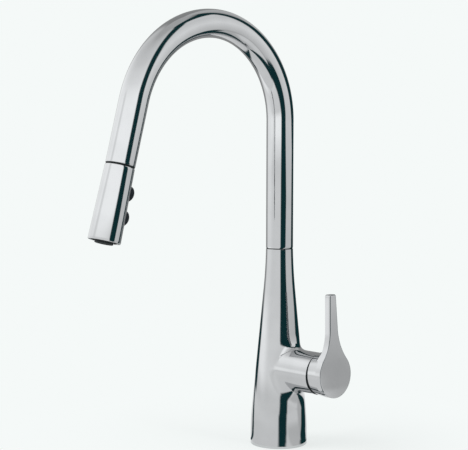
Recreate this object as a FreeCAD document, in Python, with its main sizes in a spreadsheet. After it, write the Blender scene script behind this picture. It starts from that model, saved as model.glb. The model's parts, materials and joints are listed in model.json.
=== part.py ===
"""Pull-out kitchen faucet with a side lever, a swivelling arch and a two-button spray head.

Millimetres. The origin is the centre of the base on the sink deck, +Z is up, the spout reaches
towards -Y and the handle stands out to +X.
"""
import FreeCAD, Part
import math
import os
import re
import Sketcher
from FreeCAD import Placement, Rotation, Vector

SHEET = "Sizes"

# Driving sizes, in millimetres and degrees.
SIZES = {
    # clearances
    "press_gap": 0.05,
    "run_gap": 0.05,
    "free_gap": 0.3,
    # spout
    "tube_dia": 26.0,
    "tube_wall": 1.2,
    "column_length": 123.0,
    "rise_radius": 87.0,
    "fall_radius": 97.0,
    "outlet_tilt": 15.5,
    "outlet_run": 57.0,
    # body casting
    "seam_height": 190.0,
    "waist_drop": 40.0,
    "waist_flare": 2.3,
    "base_dia": 54.8,
    "hip_flare": 1.65,
    "hip_wall": 3.8,
    "edge_break": 0.5,
    "bearing_length": 50.0,
    "neck_floor_wall": 3.2,
    "neck_wall": 1.8,
    "handle_height": 75.0,
    "boss_wall": 4.2,
    "boss_fillet": 12.0,
    "boss_clear": 2.8,
    "boss_root_gap": 1.0,
    "boss_back": 1.0,
    # base
    "base_rim": 3.9,
    "gasket_inset": 1.2,
    "gasket_width": 1.7,
    "gasket_thickness": 2.0,
    "lock_ring_foot": 1.0,
    "lock_ring_height": 7.0,
    "lock_ring_clear": 0.4,
    "manifold_height": 14.0,
    "port_wall": 0.7,
    "port_angle": 50.0,
    "supply_thread_dia": 9.0,
    "supply_thread_depth": 10.0,
    "stud_thread_dia": 6.7,
    "stud_thread_depth": 12.0,
    "riser_dia": 6.0,
    "riser_wall": 0.8,
    "riser_spread": 9.0,
    "riser_feed": 2.0,
    "riser_top": 8.0,
    "guide_wall": 1.2,
    "guide_lip": 1.7,
    "guide_flange": 2.0,
    "guide_tail": 2.0,
    # hose
    "hose_dia": 12.0,
    "hose_wall": 2.2,
    "hose_foot": 2.0,
    # valve body in the boss, along the boss axis
    "valve_start": 10.0,
    "valve_floor": 8.0,
    "valve_wall": 1.0,
    "valve_rim": 3.0,
    "nut_drop": 4.0,
    "nut_height": 3.3,
    "port_overlap": 1.0,
    # cartridge, along the boss axis
    "cartridge_dia": 25.0,
    "cartridge_wall": 1.2,
    "seal_height": 1.0,
    "seal_width": 1.0,
    "port_dia": 4.8,
    "supply_port_across": 6.5,
    "supply_port_drop": 4.0,
    "mixed_port_rise": 6.5,
    "cartridge_base_height": 4.0,
    "disc_height": 3.5,
    "moving_disc_dia": 15.6,
    "mixing_pocket_dia": 9.6,
    "mixing_pocket_depth": 1.5,
    "carrier_height": 6.0,
    "carrier_floor": 1.5,
    "ball_dia": 4.4,
    "ball_gap": 0.15,
    "ball_rest": 0.5,
    "rotor_length": 9.4,
    "rotor_slot_height": 12.6,
    "pivot_lift": 5.6,
    "housing_lip": 1.7,
    "housing_lip_width": 3.0,
    "housing_flange_width": 1.7,
    "housing_flange": 2.0,
    "pin_dia": 3.0,
    "pin_inset": 0.4,
    "stem_dia": 6.0,
    "stem_neck_dia": 2.8,
    "stem_shank_dia": 8.0,
    "stem_shank_lift": 5.8,
    "stem_cover": 3.5,
    # handle
    "handle_gap": 2.4,
    "hub_step": 0.35,
    "hub_rim_wall": 0.8,
    "hub_flare": 1.6,
    "hub_length": 17.3,
    "dome_wall": 1.8,
    "dome_skirt": 1.4,
    "dome_skirt_wall": 1.4,
    "lever_length": 75.1,
    "lever_width": 11.7,
    "lever_top_width": 9.0,
    "lever_thickness": 6.3,
    "lever_sweep": 46.0,
    "lever_lean": 3.0,
    "lever_fillet": 5.0,
    "lever_edge": 0.8,
    "set_screw_dia": 4.0,
    "set_screw_length": 8.0,
    "set_screw_inset": 10.7,
    "cap_dia": 5.2,
    "cap_height": 2.3,
    "cap_recess": 0.45,
    # spout bearing
    "bush_wall": 0.95,
    "bush_length": 10.0,
    "bush_flange": 1.4,
    "bush_lip": 0.7,
    "seam_flange": 0.8,
    "seam_inset": 0.5,
    "sleeve_wall": 2.15,
    "sleeve_tail": 4.1,
    "sleeve_rise": 24.2,
    "clip_gap": 0.3,
    "clip_thickness": 1.2,
    "clip_depth": 0.85,
    "clip_angle": 320.0,
    "stop_dia": 4.0,
    "stop_dog_dia": 2.8,
    "stop_dog": 1.8,
    "stop_groove_depth": 0.95,
    "swivel_half_angle": 75.0,
    "stop_half_angle": 9.5,
    # dock and hose end, along the outlet axis
    "dock_depth": 24.0,
    "dock_wall": 1.15,
    "dock_flange": 1.1,
    "dock_inset": 0.4,
    "spigot_depth": 20.0,
    "nut_depth": 22.0,
    "nut_length": 17.0,
    "hose_nut_dia": 15.8,
    "ferrule_length": 14.0,
    "ferrule_wall": 1.15,
    "washer_height": 1.0,
    "washer_bore": 8.0,
    # spray head
    "head_gap": 1.4,
    "head_end": 67.2,
    "head_flare": 1.3,
    "head_wall": 1.6,
    "head_top_wall": 1.8,
    "head_edge": 0.8,
    "inlet_flange": 2.0,
    "inlet_step": 1.2,
    "inlet_tail_length": 5.9,
    "inlet_bore": 11.0,
    "check_valve_length": 12.5,
    "check_valve_bore": 6.0,
    "core_gap": 0.6,
    "core_shelf": 2.5,
    "core_top_wall": 2.0,
    "core_pocket_gap": 1.2,
    "core_channel": 4.0,
    "core_channel_dia": 6.0,
    "face_depth": 9.0,
    "face_gap": 0.35,
    "face_height": 7.2,
    "face_boss_dia": 16.4,
    "face_boss": 2.8,
    "core_seal_height": 1.0,
    "core_seal_bore": 14.0,
    "core_seal_width": 3.0,
    "aerator_dia": 10.8,
    "aerator_recess": 0.6,
    "aerator_dish": 1.4,
    "nozzle_dia": 1.5,
    "nozzle_height": 1.2,
    "nozzle_count": 14,
    # buttons
    "button_dia": 13.4,
    "button_pitch": 21.5,
    "button_lip": 1.0,
    "button_flange": 2.0,
    "button_seat": 6.5,
    "button_proud": 3.0,
    "button_crown": 3.1,
    "return_wall": 1.8,
    "return_inset": 0.9,
}

# Sizes that follow from the ones above.
DERIVED = {
    # spout
    "tube_radius": "tube_dia / 2",
    "tube_bore": "tube_dia - 2 * tube_wall",
    "column_top": "seam_height + column_length",
    "tilt_sine": "sin(outlet_tilt)",
    "tilt_cosine": "cos(outlet_tilt)",
    "crown": "column_top + rise_radius",
    "fall_end_out": "rise_radius + fall_radius * tilt_cosine",
    "fall_end_up": "crown - fall_radius + fall_radius * tilt_sine",
    "outlet_out": "fall_end_out + outlet_run * tilt_sine",
    "outlet_up": "fall_end_up - outlet_run * tilt_cosine",
    "hose_bore": "hose_dia - 2 * hose_wall",
    "hose_end_out": "outlet_out - nut_depth * tilt_sine",
    "hose_end_up": "outlet_up + nut_depth * tilt_cosine",
    # cartridge and valve body, along the boss axis
    "valve_pocket": "valve_start + valve_floor",
    "base_foot": "valve_pocket + seal_height",
    "base_top": "base_foot + cartridge_base_height",
    "moving_foot": "base_top + disc_height",
    "carrier_foot": "moving_foot + disc_height",
    "carrier_top": "carrier_foot + carrier_height",
    "rotor_foot": "carrier_top + 2 * free_gap",
    "rotor_top": "rotor_foot + rotor_length",
    "pivot": "rotor_foot + pivot_lift",
    "ball_place": "carrier_foot + carrier_floor + ball_rest + ball_dia / 2",
    "stem_arm": "pivot - ball_place",
    "neck_foot": "ball_place + sqrt((ball_dia / 2)^2 - (stem_neck_dia / 2)^2)",
    "stem_shank_start": "pivot + stem_shank_lift",
    "disc_shift": "stem_arm * sin(lever_lean)",
    "housing_bore": "cartridge_dia - 2 * cartridge_wall",
    "housing_lip_bore": "cartridge_dia - 2 * housing_lip_width",
    "housing_flange_dia": "cartridge_dia + 2 * housing_flange_width",
    "housing_top": "rotor_top + free_gap + housing_lip",
    "pin_length": "housing_bore - 4 * run_gap - 2 * pin_inset",
    "nut_seat": "housing_top - nut_drop",
    "nut_dia": "housing_flange_dia + free_gap",
    "valve_end": "nut_seat + housing_flange + nut_height + valve_rim",
    "valve_dia": "nut_dia + 2 * press_gap + 2 * valve_wall",
    "feed_top": "supply_port_drop - port_overlap",
    "mixed_top": "mixed_port_rise + port_overlap / 2",
    "boss_bore": "valve_dia + 2 * press_gap",
    "boss_dia": "boss_bore + 2 * boss_wall",
    "boss_end": "valve_end + dome_skirt + 2 * press_gap",
    "boss_root": "hose_dia / 2 + boss_root_gap",
    "boss_bore_end": "boss_root - boss_back",
    # body casting
    "waist_height": "seam_height - waist_drop",
    "waist_dia": "tube_dia + 2 * waist_flare",
    "hip_height": "handle_height - boss_dia / 2 - boss_fillet - boss_clear",
    "hip_dia": "base_dia - 2 * hip_flare",
    "taper_angle": "atan((hip_dia - waist_dia) / 2 / (waist_height - hip_height))",
    "neck_offset": "(tube_dia - waist_dia) / 2 * cos(taper_angle)"
                   " + (seam_height - waist_height) * sin(taper_angle)",
    "neck_sweep": "(((tube_dia - waist_dia) / 2)^2 + (seam_height - waist_height)^2) / 2 / neck_offset",
    "hip_offset": "(hip_height - edge_break) * sin(taper_angle)"
                  " - (base_dia - hip_dia) / 2 * cos(taper_angle)",
    "hip_sweep": "(((base_dia - hip_dia) / 2)^2 + (hip_height - edge_break)^2) / 2 / hip_offset",
    "neck_bore": "tube_dia - 2 * neck_wall",
    "neck_floor": "seam_height - bearing_length",
    "neck_floor_dia": "waist_dia + 2 * (waist_height - neck_floor) * tan(taper_angle)",
    # base
    "base_bore_dia": "base_dia - 2 * base_rim",
    "gasket_outer_dia": "base_dia - 2 * gasket_inset",
    "gasket_inner_dia": "gasket_outer_dia - 2 * gasket_width",
    "guide_bore": "hose_dia + 2 * free_gap",
    "guide_dia": "guide_bore + 2 * guide_wall",
    "guide_flange_dia": "guide_dia + 2 * guide_lip",
    "port_circle": "guide_dia + supply_thread_dia + 2 * port_wall",
    "port_x": "port_circle / 2 * cos(port_angle)",
    "port_y": "port_circle / 2 * sin(port_angle)",
    "lock_ring_bore": "port_circle + supply_thread_dia + 2 * lock_ring_clear",
    "manifold_foot": "lock_ring_foot + lock_ring_height",
    "manifold_top": "manifold_foot + manifold_height",
    "riser_bore": "riser_dia - 2 * riser_wall",
    "riser_reach": "valve_start + valve_floor / 2",
    "riser_socket": "manifold_height - supply_thread_depth",
    # handle
    "pivot_depth": "boss_end - pivot",
    "dome_bore": "cartridge_dia + 4 * press_gap",
    "dome_radius": "sqrt((boss_dia / 2)^2 + pivot_depth^2)",
    "dome_inner": "dome_radius - dome_wall",
    "dome_mouth": "pivot + sqrt(dome_radius^2 - (dome_bore / 2)^2)",
    "dome_mouth_inner": "pivot + sqrt(dome_inner^2 - (dome_bore / 2)^2)",
    "hub_rim": "boss_end + handle_gap",
    "hub_rim_dia": "boss_dia + 2 * hub_step",
    "hub_face": "hub_rim + hub_length",
    "hub_face_dia": "hub_rim_dia + 2 * hub_flare",
    "hub_back": "hub_face - lever_thickness",
    "hub_recess": "sqrt((hub_rim_dia / 2 - hub_rim_wall)^2 + (hub_rim - pivot)^2)",
    "hub_slope": "hub_flare / (hub_back - hub_rim)",
    "root_foot": "hub_back - lever_fillet",
    "root_radius": "hub_rim_dia / 2 + hub_slope * (root_foot - hub_rim)",
    "stem_bore": "stem_shank_dia + 2 * press_gap",
    "stem_end": "hub_face - stem_cover",
    "set_screw_place": "hub_rim + set_screw_inset",
    "cap_top": "hub_rim_dia / 2 + hub_slope * set_screw_inset - cap_recess",
    "lever_root_up": "sqrt((hub_face_dia / 2 + lever_sweep)^2 - (lever_width / 2 + lever_sweep)^2)",
    "lever_join_up": "hub_face_dia / 2 * lever_root_up / (hub_face_dia / 2 + lever_sweep)",
    "lever_join_out": "hub_face_dia / 2 * (lever_width / 2 + lever_sweep) / (hub_face_dia / 2 + lever_sweep)",
    # spout bearing
    "sleeve_dia": "neck_bore - 2 * press_gap - 2 * bush_wall - 2 * run_gap",
    "sleeve_bore": "sleeve_dia - 2 * sleeve_wall",
    "bush_flange_dia": "neck_bore + 2 * bush_lip",
    "clip_dia": "bush_flange_dia",
    "seam_flange_dia": "tube_dia - 2 * seam_inset",
    "spout_foot": "seam_height + seam_flange",
    "stop_height": "seam_height - bearing_length / 2",
    "stop_groove_floor": "sleeve_dia - 2 * stop_groove_depth",
    # dock and spray head, along the outlet axis
    "dock_flange_dia": "tube_dia - 2 * dock_inset",
    "spigot_dia": "tube_bore - 2 * press_gap - 2 * dock_wall - 2 * free_gap",
    "spigot_bore": "hose_nut_dia + 4 * run_gap",
    "nut_foot": "nut_depth - nut_length",
    "washer_foot": "nut_foot - washer_height",
    "head_end_dia": "tube_dia + 2 * head_flare",
    "inlet_shoulder": "head_gap + head_top_wall",
    "inlet_flange_dia": "tube_dia - 2 * head_wall - 8 * press_gap",
    "inlet_tail_dia": "inlet_flange_dia - 2 * inlet_step",
    "inlet_tail": "inlet_shoulder + inlet_flange + inlet_tail_length",
    "core_dia": "tube_dia - 2 * head_wall - 2 * core_gap",
    "core_end": "head_end - face_depth",
    "core_seal_dia": "core_seal_bore + 2 * core_seal_width",
    "face_foot": "core_end + core_seal_height",
    "face_dia": "head_end_dia - 2 * head_wall - 2 * face_gap",
    "face_rim": "face_foot + face_height",
    "face_end": "face_rim + face_boss",
    "nozzle_circle": "(face_dia + face_boss_dia) / 2",
    "button_flange_dia": "button_dia + 2 * button_lip",
    "core_pocket_top": "inlet_tail + core_top_wall",
    "upper_button_place": "core_pocket_top + core_pocket_gap + button_flange_dia / 2",
    "lower_button_place": "upper_button_place + button_pitch",
    "core_pocket_end": "lower_button_place + button_flange_dia / 2 + core_pocket_gap",
    "core_pocket_width": "button_flange_dia + 2 * core_pocket_gap",
    "button_flange_foot": "tube_radius - button_seat",
    "button_wall_top": "tube_radius + button_proud",
    "button_top": "button_wall_top + button_crown",
    "button_dome": "((button_dia / 2)^2 + button_crown^2) / 2 / button_crown",
    "return_dia": "button_dia - 2 * return_inset",
    "return_bore": "return_dia - 2 * return_wall",
}

NAME = re.compile(r"[a-z][a-z_]*")
# How near, in millimetres, a point counts as lying on a surface.
TOUCH = 0.01

doc = FreeCAD.newDocument("Faucet")
sheet = doc.addObject("Spreadsheet::Sheet", SHEET)
PIECES = []


def fill_sheet():
    """Write every size into the sheet under its name and return the numbers."""
    cells = [(name, str(size)) for name, size in SIZES.items()]
    cells += [(name, "=" + formula) for name, formula in DERIVED.items()]
    names = list(SIZES) + list(DERIVED)
    for row, name in enumerate(names, 1):
        sheet.set("A%d" % row, name)
        sheet.setAlias("B%d" % row, name)
    for row, (name, text) in enumerate(cells, 1):
        sheet.set("B%d" % row, text)
    doc.recompute()
    return {name: float(getattr(sheet, name)) for name in names}


VALUES = fill_sheet()


def bound(text):
    """The expression with each size's name led by the sheet's."""
    return NAME.sub(lambda found: SHEET + "." + found[0], text)


def number(text):
    """What the expression comes to."""
    plain = NAME.sub(lambda found: "(%.9f)" % VALUES[found[0]], text)
    return FreeCAD.Units.parseQuantity(plain).Value


def half(name):
    return name + " / 2"


BOSS = Placement(Vector(0, 0, VALUES["handle_height"]), Rotation(Vector(0, 1, 0), 90))
LEAN = Placement(Vector(), Rotation(Vector(0, 1, 0), -VALUES["lever_lean"]), Vector(0, 0, VALUES["pivot"]))
HANDLE = BOSS.multiply(LEAN)
DISC = BOSS.multiply(Placement(Vector(VALUES["disc_shift"], 0, 0), Rotation()))
OUTLET = Placement(
    Vector(0, -VALUES["outlet_out"], VALUES["outlet_up"]),
    Rotation(Vector(1, 0, 0), 180 - VALUES["outlet_tilt"]),
)


def new_body(label, at):
    body = doc.addObject("PartDesign::Body", label)
    body.Label = label
    if at is not None:
        body.Placement = at
    PIECES.append(body)
    return body


def new_sketch(body, name, plane, offset="0"):
    """An empty sketch on one of the body's own planes, moved along that plane's normal."""
    sketch = body.newObject("Sketcher::SketchObject", name)
    support = next(item for item in body.Origin.OriginFeatures if item.Role == plane)
    sketch.AttachmentSupport = [(support, "")]
    sketch.MapMode = "FlatFace"
    sketch.AttachmentOffset = Placement(Vector(0, 0, number(offset)), Rotation())
    sketch.setExpression("AttachmentOffset.Base.z", bound(offset))
    return sketch


def pin_point(sketch, curve, end, point):
    """Tie one end of a curve to its two coordinates."""
    for kind, text in zip(("DistanceX", "DistanceY"), point):
        index = sketch.addConstraint(Sketcher.Constraint(kind, -1, 1, curve, end, number(text)))
        sketch.setExpression("Constraints[%d]" % index, bound(text))


def arc_between(start, end, radius):
    """The arc of that radius from start to end; a positive radius turns anticlockwise."""
    span = end - start
    rise = (radius ** 2 - (span.Length / 2) ** 2) ** 0.5
    side = Vector(-span.y, span.x, 0).normalize()
    if radius < 0:
        side = -side
    centre = start + span / 2 + side * rise
    middle = centre + (start + span / 2 - centre).normalize() * abs(radius)
    return Part.Arc(start, middle, end)


def trace(sketch, points, arcs=None, closed=True):
    """Join the points by lines, or by arcs where a span has a radius.

    Points are pairs of expressions. arcs gives, by the number of the span's first point, the
    radius and the way that it turns: 1 for anticlockwise, -1 for clockwise.
    """
    arcs = arcs or {}
    spots = [Vector(number(across), number(up), 0) for across, up in points]
    spans = len(points) if closed else len(points) - 1
    begins, ends = [], []
    for span in range(spans):
        start, end = spots[span], spots[(span + 1) % len(points)]
        if span in arcs:
            radius, way = arcs[span]
            curve = sketch.addGeometry(arc_between(start, end, way * number(radius)))
            begin = 1 if sketch.getPoint(curve, 1).isEqual(start, 1e-6) else 2
            index = sketch.addConstraint(Sketcher.Constraint("Radius", curve, number(radius)))
            sketch.setExpression("Constraints[%d]" % index, bound(radius))
        else:
            curve = sketch.addGeometry(Part.LineSegment(start, end))
            begin = 1
        begins.append((curve, begin))
        ends.append((curve, 3 - begin))
    for span in range(1, spans):
        sketch.addConstraint(Sketcher.Constraint("Coincident", *ends[span - 1], *begins[span]))
    if closed:
        sketch.addConstraint(Sketcher.Constraint("Coincident", *ends[-1], *begins[0]))
    for span in range(spans):
        pin_point(sketch, *begins[span], points[span])
    if not closed:
        pin_point(sketch, *ends[-1], points[-1])
    return sketch


def circles(sketch, rounds):
    """Circles given as (across, up, diameter) expressions."""
    for across, up, diameter in rounds:
        centre = Vector(number(across), number(up), 0)
        radius = half("(" + diameter + ")")
        curve = sketch.addGeometry(Part.Circle(centre, Vector(0, 0, 1), number(radius)))
        index = sketch.addConstraint(Sketcher.Constraint("Radius", curve, number(radius)))
        sketch.setExpression("Constraints[%d]" % index, bound(radius))
        pin_point(sketch, curve, 3, (across, up))
    return sketch


def rectangle(sketch, across, up):
    """A rectangle about the sketch's origin, given by half of each side."""
    return trace(sketch, [("-" + across, "-" + up), (across, "-" + up), (across, up), ("-" + across, up)])


def turned(label, points, arcs=None, at=None, turn="360"):
    """A piece turned about its own Z axis from an outline of (radius, height) pairs."""
    body = new_body(label, at)
    sketch = trace(new_sketch(body, label + "_outline", "XZ_Plane"), points, arcs)
    feature = body.newObject("PartDesign::Revolution", label + "_turn")
    feature.Profile = (sketch, [""])
    feature.ReferenceAxis = (sketch, ["V_Axis"])
    feature.setExpression("Angle", bound(turn))
    return body


def ring(label, bore, diameter, foot, top, at=None):
    """A plain ring between two heights; a bore of 0 makes it solid."""
    return turned(label, [
        (half(bore), foot), (half(diameter), foot), (half(diameter), top), (half(bore), top),
    ], at=at)


def cut(body, name, sketch, depth, forwards=False):
    """Cut the sketch into the body against its normal, or along it."""
    before = body.Shape.Volume if body.Shape.isValid() else 0
    pocket = body.newObject("PartDesign::Pocket", name)
    pocket.Profile = (sketch, [""])
    pocket.setExpression("Length", bound(depth))
    pocket.Reversed = forwards
    doc.recompute()
    if before and body.Shape.Volume >= before:
        raise ValueError(name + " cuts nothing")
    return pocket


def drill(body, name, plane, offset, rounds, depth, forwards=False):
    """Round holes from a plane of the body's own frame."""
    doc.recompute()
    return cut(body, name, circles(new_sketch(body, name + "_holes", plane, offset), rounds), depth, forwards)


def grooved(body, name, sketch, turn):
    """Cut the sketch round the body's Z axis, half of the turn to each side."""
    groove = body.newObject("PartDesign::Groove", name)
    groove.Profile = (sketch, [""])
    groove.ReferenceAxis = (sketch, ["V_Axis"])
    groove.Midplane = True
    groove.setExpression("Angle", bound(turn))
    return groove


def pad(body, name, sketch, height, backwards=False):
    feature = body.newObject("PartDesign::Pad", name)
    feature.Profile = (sketch, [""])
    feature.setExpression("Length", bound(height))
    feature.Reversed = backwards
    return feature


def piped(label, path, bends, diameter, bore):
    """A tube along a path of straight runs and arcs in the spout's plane."""
    body = new_body(label, None)
    route = trace(new_sketch(body, label + "_route", "YZ_Plane"), path, bends, closed=False)
    section = new_sketch(body, label + "_section", "XY_Plane", path[0][1])
    circles(section, [("0", "0", diameter), ("0", "0", bore)])
    sweep = body.newObject("PartDesign::AdditivePipe", label + "_sweep")
    sweep.Profile = (section, [""])
    sweep.Spine = (route, ["Edge%d" % (span + 1) for span in range(len(path) - 1)])
    return body


def fillet(body, name, radius, chosen):
    """Round the edges that a test picks out."""
    doc.recompute()
    base = body.Tip
    names = ["Edge%d" % (at + 1) for at, edge in enumerate(base.Shape.Edges)
             if not edge.Degenerated and chosen(edge)]
    feature = body.newObject("PartDesign::Fillet", name)
    feature.Base = (base, names)
    feature.setExpression("Radius", bound(radius))
    return feature


RISER_SIDES = {"hot_riser": "riser_spread", "cold_riser": "-riser_spread", "mixed_pipe": "0"}


def make_body_shell():
    cavity_dia = "(hip_dia - 2 * hip_wall)"
    groove_inner = "gasket_inner_dia / 2 - press_gap"
    groove_outer = "gasket_outer_dia / 2 + press_gap"
    groove_depth = "gasket_thickness"
    outline = [
        ("base_bore_dia / 2", "0"),
        (groove_inner, "0"), (groove_inner, groove_depth), (groove_outer, groove_depth), (groove_outer, "0"),
        ("base_dia / 2 - edge_break", "0"), ("base_dia / 2", "edge_break"),
        ("hip_dia / 2", "hip_height"), ("waist_dia / 2", "waist_height"),
        ("tube_dia / 2", "seam_height"), ("neck_bore / 2", "seam_height"),
        ("neck_bore / 2", "neck_floor"), ("neck_floor_dia / 2 - neck_floor_wall", "neck_floor"),
        (half(cavity_dia), "hip_height"), (half(cavity_dia), "manifold_top"),
        ("base_bore_dia / 2", "manifold_top"),
    ]
    body = turned("body_shell", outline, {6: ("hip_sweep", 1), 8: ("neck_sweep", -1)})
    boss = new_sketch(body, "boss_round", "YZ_Plane", "boss_root")
    circles(boss, [("0", "handle_height", "boss_dia")])
    pad(body, "boss", boss, "boss_end - boss_root")
    slope = math.tan(math.radians(VALUES["taper_angle"]))

    def on_taper(spot):
        radius = VALUES["waist_dia"] / 2 + (VALUES["waist_height"] - spot.z) * slope
        return abs(math.hypot(spot.x, spot.y) - radius) < TOUCH

    def on_boss(spot):
        return abs(math.hypot(spot.y, spot.z - VALUES["handle_height"]) - VALUES["boss_dia"] / 2) < TOUCH

    def at_boss_root(edge):
        """True on the line where the boss leaves the outside of the casting."""
        return all(on_taper(spot) and on_boss(spot) for spot in edge.discretize(5))

    fillet(body, "boss_blend", "boss_fillet", at_boss_root)
    drill(body, "boss_hole", "YZ_Plane", "boss_end", [("0", "handle_height", "boss_bore")],
          "boss_end - boss_bore_end")
    drill(body, "riser_holes", "XY_Plane", "handle_height",
          [("riser_reach", side, "riser_dia + 2 * press_gap") for side in RISER_SIDES.values()],
          "boss_dia / 2 + boss_fillet")
    drill(body, "stop_screw_hole", "XZ_Plane", "0", [("0", "stop_height", "stop_dia + 2 * press_gap")],
          "tube_dia")


def make_base():
    ring("base_gasket", "gasket_inner_dia", "gasket_outer_dia", "0", "gasket_thickness")
    ring("base_lock_ring", "lock_ring_bore", "(base_bore_dia - 2 * press_gap)",
         "lock_ring_foot", "manifold_foot")
    body = ring("base_manifold", "(guide_dia + 2 * press_gap)", "(base_bore_dia - 2 * press_gap)",
                "manifold_foot", "manifold_top")
    threads = [("port_x", "port_y"), ("port_x", "-port_y"), ("port_circle / 2", "0")]
    drill(body, "supply_threads", "XY_Plane", "manifold_foot",
          [(across, up, "supply_thread_dia") for across, up in threads], "supply_thread_depth", True)
    drill(body, "stud_thread", "XY_Plane", "manifold_foot",
          [("-port_circle / 2", "0", "stud_thread_dia")], "stud_thread_depth", True)
    drill(body, "riser_sockets", "XY_Plane", "manifold_top",
          [("riser_reach", side, "riser_dia + 2 * press_gap") for side in RISER_SIDES.values()],
          "riser_socket")
    drill(body, "riser_feeds", "XY_Plane", "manifold_top - riser_socket",
          [("riser_reach", side, "riser_bore") for side in RISER_SIDES.values()], "riser_feed")
    turned("hose_guide", [
        ("guide_bore / 2", "manifold_foot - guide_tail"), ("guide_dia / 2", "manifold_foot - guide_tail"),
        ("guide_dia / 2", "manifold_top"), ("guide_flange_dia / 2", "manifold_top"),
        ("guide_flange_dia / 2", "manifold_top + guide_flange"),
        ("guide_bore / 2", "manifold_top + guide_flange"),
    ])


def make_risers():
    for label, side in RISER_SIDES.items():
        body = new_body(label, None)
        sketch = new_sketch(body, label + "_section", "XY_Plane", "manifold_top - riser_socket")
        circles(sketch, [("riser_reach", side, "riser_dia"), ("riser_reach", side, "riser_bore")])
        pad(body, label + "_length", sketch, "handle_height - riser_top - (manifold_top - riser_socket)")


PORTS = [
    ("supply_port_drop", "supply_port_across"),
    ("supply_port_drop", "-supply_port_across"),
    ("-mixed_port_rise", "0"),
]


def port_holes(diameter):
    return [(across, up, diameter) for across, up in PORTS]


def make_valve_body():
    pocket, seat = "cartridge_dia / 2 + press_gap", "nut_dia / 2 + press_gap"
    body = turned("valve_body", [
        ("0", "valve_start"), ("valve_dia / 2", "valve_start"), ("valve_dia / 2", "valve_end"),
        (seat, "valve_end"), (seat, "nut_seat"), (pocket, "nut_seat"), (pocket, "valve_pocket"),
        ("0", "valve_pocket"),
    ], at=BOSS)
    drill(body, "valve_sockets", "YZ_Plane", "valve_dia / 2",
          [(side, "riser_reach", "riser_dia + 2 * press_gap") for side in RISER_SIDES.values()],
          "valve_dia / 2 - riser_top")
    drill(body, "valve_feeds", "YZ_Plane", "riser_top",
          [(RISER_SIDES[label], "riser_reach", "riser_bore") for label in ("hot_riser", "cold_riser")],
          "riser_top - feed_top")
    drill(body, "valve_return", "YZ_Plane", "riser_top", [("0", "riser_reach", "riser_bore")],
          "riser_top + mixed_top")
    drill(body, "valve_ports", "XY_Plane", "valve_pocket", port_holes("port_dia"),
          "valve_pocket - riser_reach + riser_bore / 2")


def make_cartridge():
    seals = new_body("port_seals", BOSS)
    sketch = new_sketch(seals, "port_seals_section", "XY_Plane", "valve_pocket")
    circles(sketch, port_holes("port_dia") + port_holes("port_dia + 2 * seal_width"))
    pad(seals, "port_seals_height", sketch, "seal_height")

    base = ring("cartridge_base", "0", "cartridge_dia", "base_foot", "base_top", BOSS)
    drill(base, "base_ports", "XY_Plane", "base_top", port_holes("port_dia"), "cartridge_base_height")
    fixed = ring("fixed_disc", "0", "(housing_bore - 4 * press_gap)", "base_top", "moving_foot", BOSS)
    drill(fixed, "disc_ports", "XY_Plane", "moving_foot", port_holes("port_dia"), "disc_height")

    turned("moving_disc", [
        ("mixing_pocket_dia / 2", "moving_foot"), ("moving_disc_dia / 2", "moving_foot"),
        ("moving_disc_dia / 2", "carrier_foot"), ("0", "carrier_foot"),
        ("0", "moving_foot + mixing_pocket_depth"),
        ("mixing_pocket_dia / 2", "moving_foot + mixing_pocket_depth"),
    ], at=DISC)
    carrier = ring("disc_carrier", "0", "moving_disc_dia", "carrier_foot", "carrier_top", DISC)
    doc.recompute()
    side = "(ball_dia / 2 + ball_gap)"
    window = rectangle(new_sketch(carrier, "carrier_window", "XY_Plane", "carrier_top"), side, side)
    cut(carrier, "carrier_slot", window, "carrier_height - carrier_floor")

    rotor = ring("mixing_rotor", "0", "(housing_bore - 4 * run_gap)", "rotor_foot", "rotor_top", BOSS)
    doc.recompute()
    window = new_sketch(rotor, "rotor_window", "XY_Plane", "rotor_top")
    rectangle(window, half("rotor_slot_height"), "(stem_dia / 2 + free_gap)")
    cut(rotor, "rotor_slot", window, "rotor_length")
    drill(rotor, "rotor_pin_hole", "XZ_Plane", "housing_bore / 2", [("0", "pivot", "pin_dia")],
          "housing_bore")

    pin = new_body("rotor_pin", BOSS)
    sketch = circles(new_sketch(pin, "pin_round", "XZ_Plane", "-pin_length / 2"),
                     [("0", "pivot", "pin_dia - 2 * press_gap")])
    pad(pin, "pin_length", sketch, "pin_length")

    turned("cartridge_housing", [
        ("housing_bore / 2", "base_top"), ("cartridge_dia / 2", "base_top"),
        ("cartridge_dia / 2", "nut_seat"), ("housing_flange_dia / 2", "nut_seat"),
        ("housing_flange_dia / 2", "nut_seat + housing_flange"),
        ("cartridge_dia / 2", "nut_seat + housing_flange"), ("cartridge_dia / 2", "housing_top"),
        ("housing_lip_bore / 2", "housing_top"), ("housing_lip_bore / 2", "housing_top - housing_lip"),
        ("housing_bore / 2", "housing_top - housing_lip"),
    ], at=BOSS)
    ring("cartridge_nut", "(cartridge_dia + 4 * press_gap)", "nut_dia", "nut_seat + housing_flange",
         "nut_seat + housing_flange + nut_height", BOSS)
    skirt, skirt_bore = "boss_bore / 2 - 2 * press_gap", "boss_bore / 2 - 2 * press_gap - dome_skirt_wall"
    turned("dome_ring", [
        ("boss_dia / 2", "boss_end"), ("dome_bore / 2", "dome_mouth"), ("dome_bore / 2", "dome_mouth_inner"),
        (skirt_bore, "boss_end"), (skirt_bore, "boss_end - dome_skirt"), (skirt, "boss_end - dome_skirt"),
        (skirt, "boss_end"),
    ], {0: ("dome_radius", 1)}, BOSS)


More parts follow.
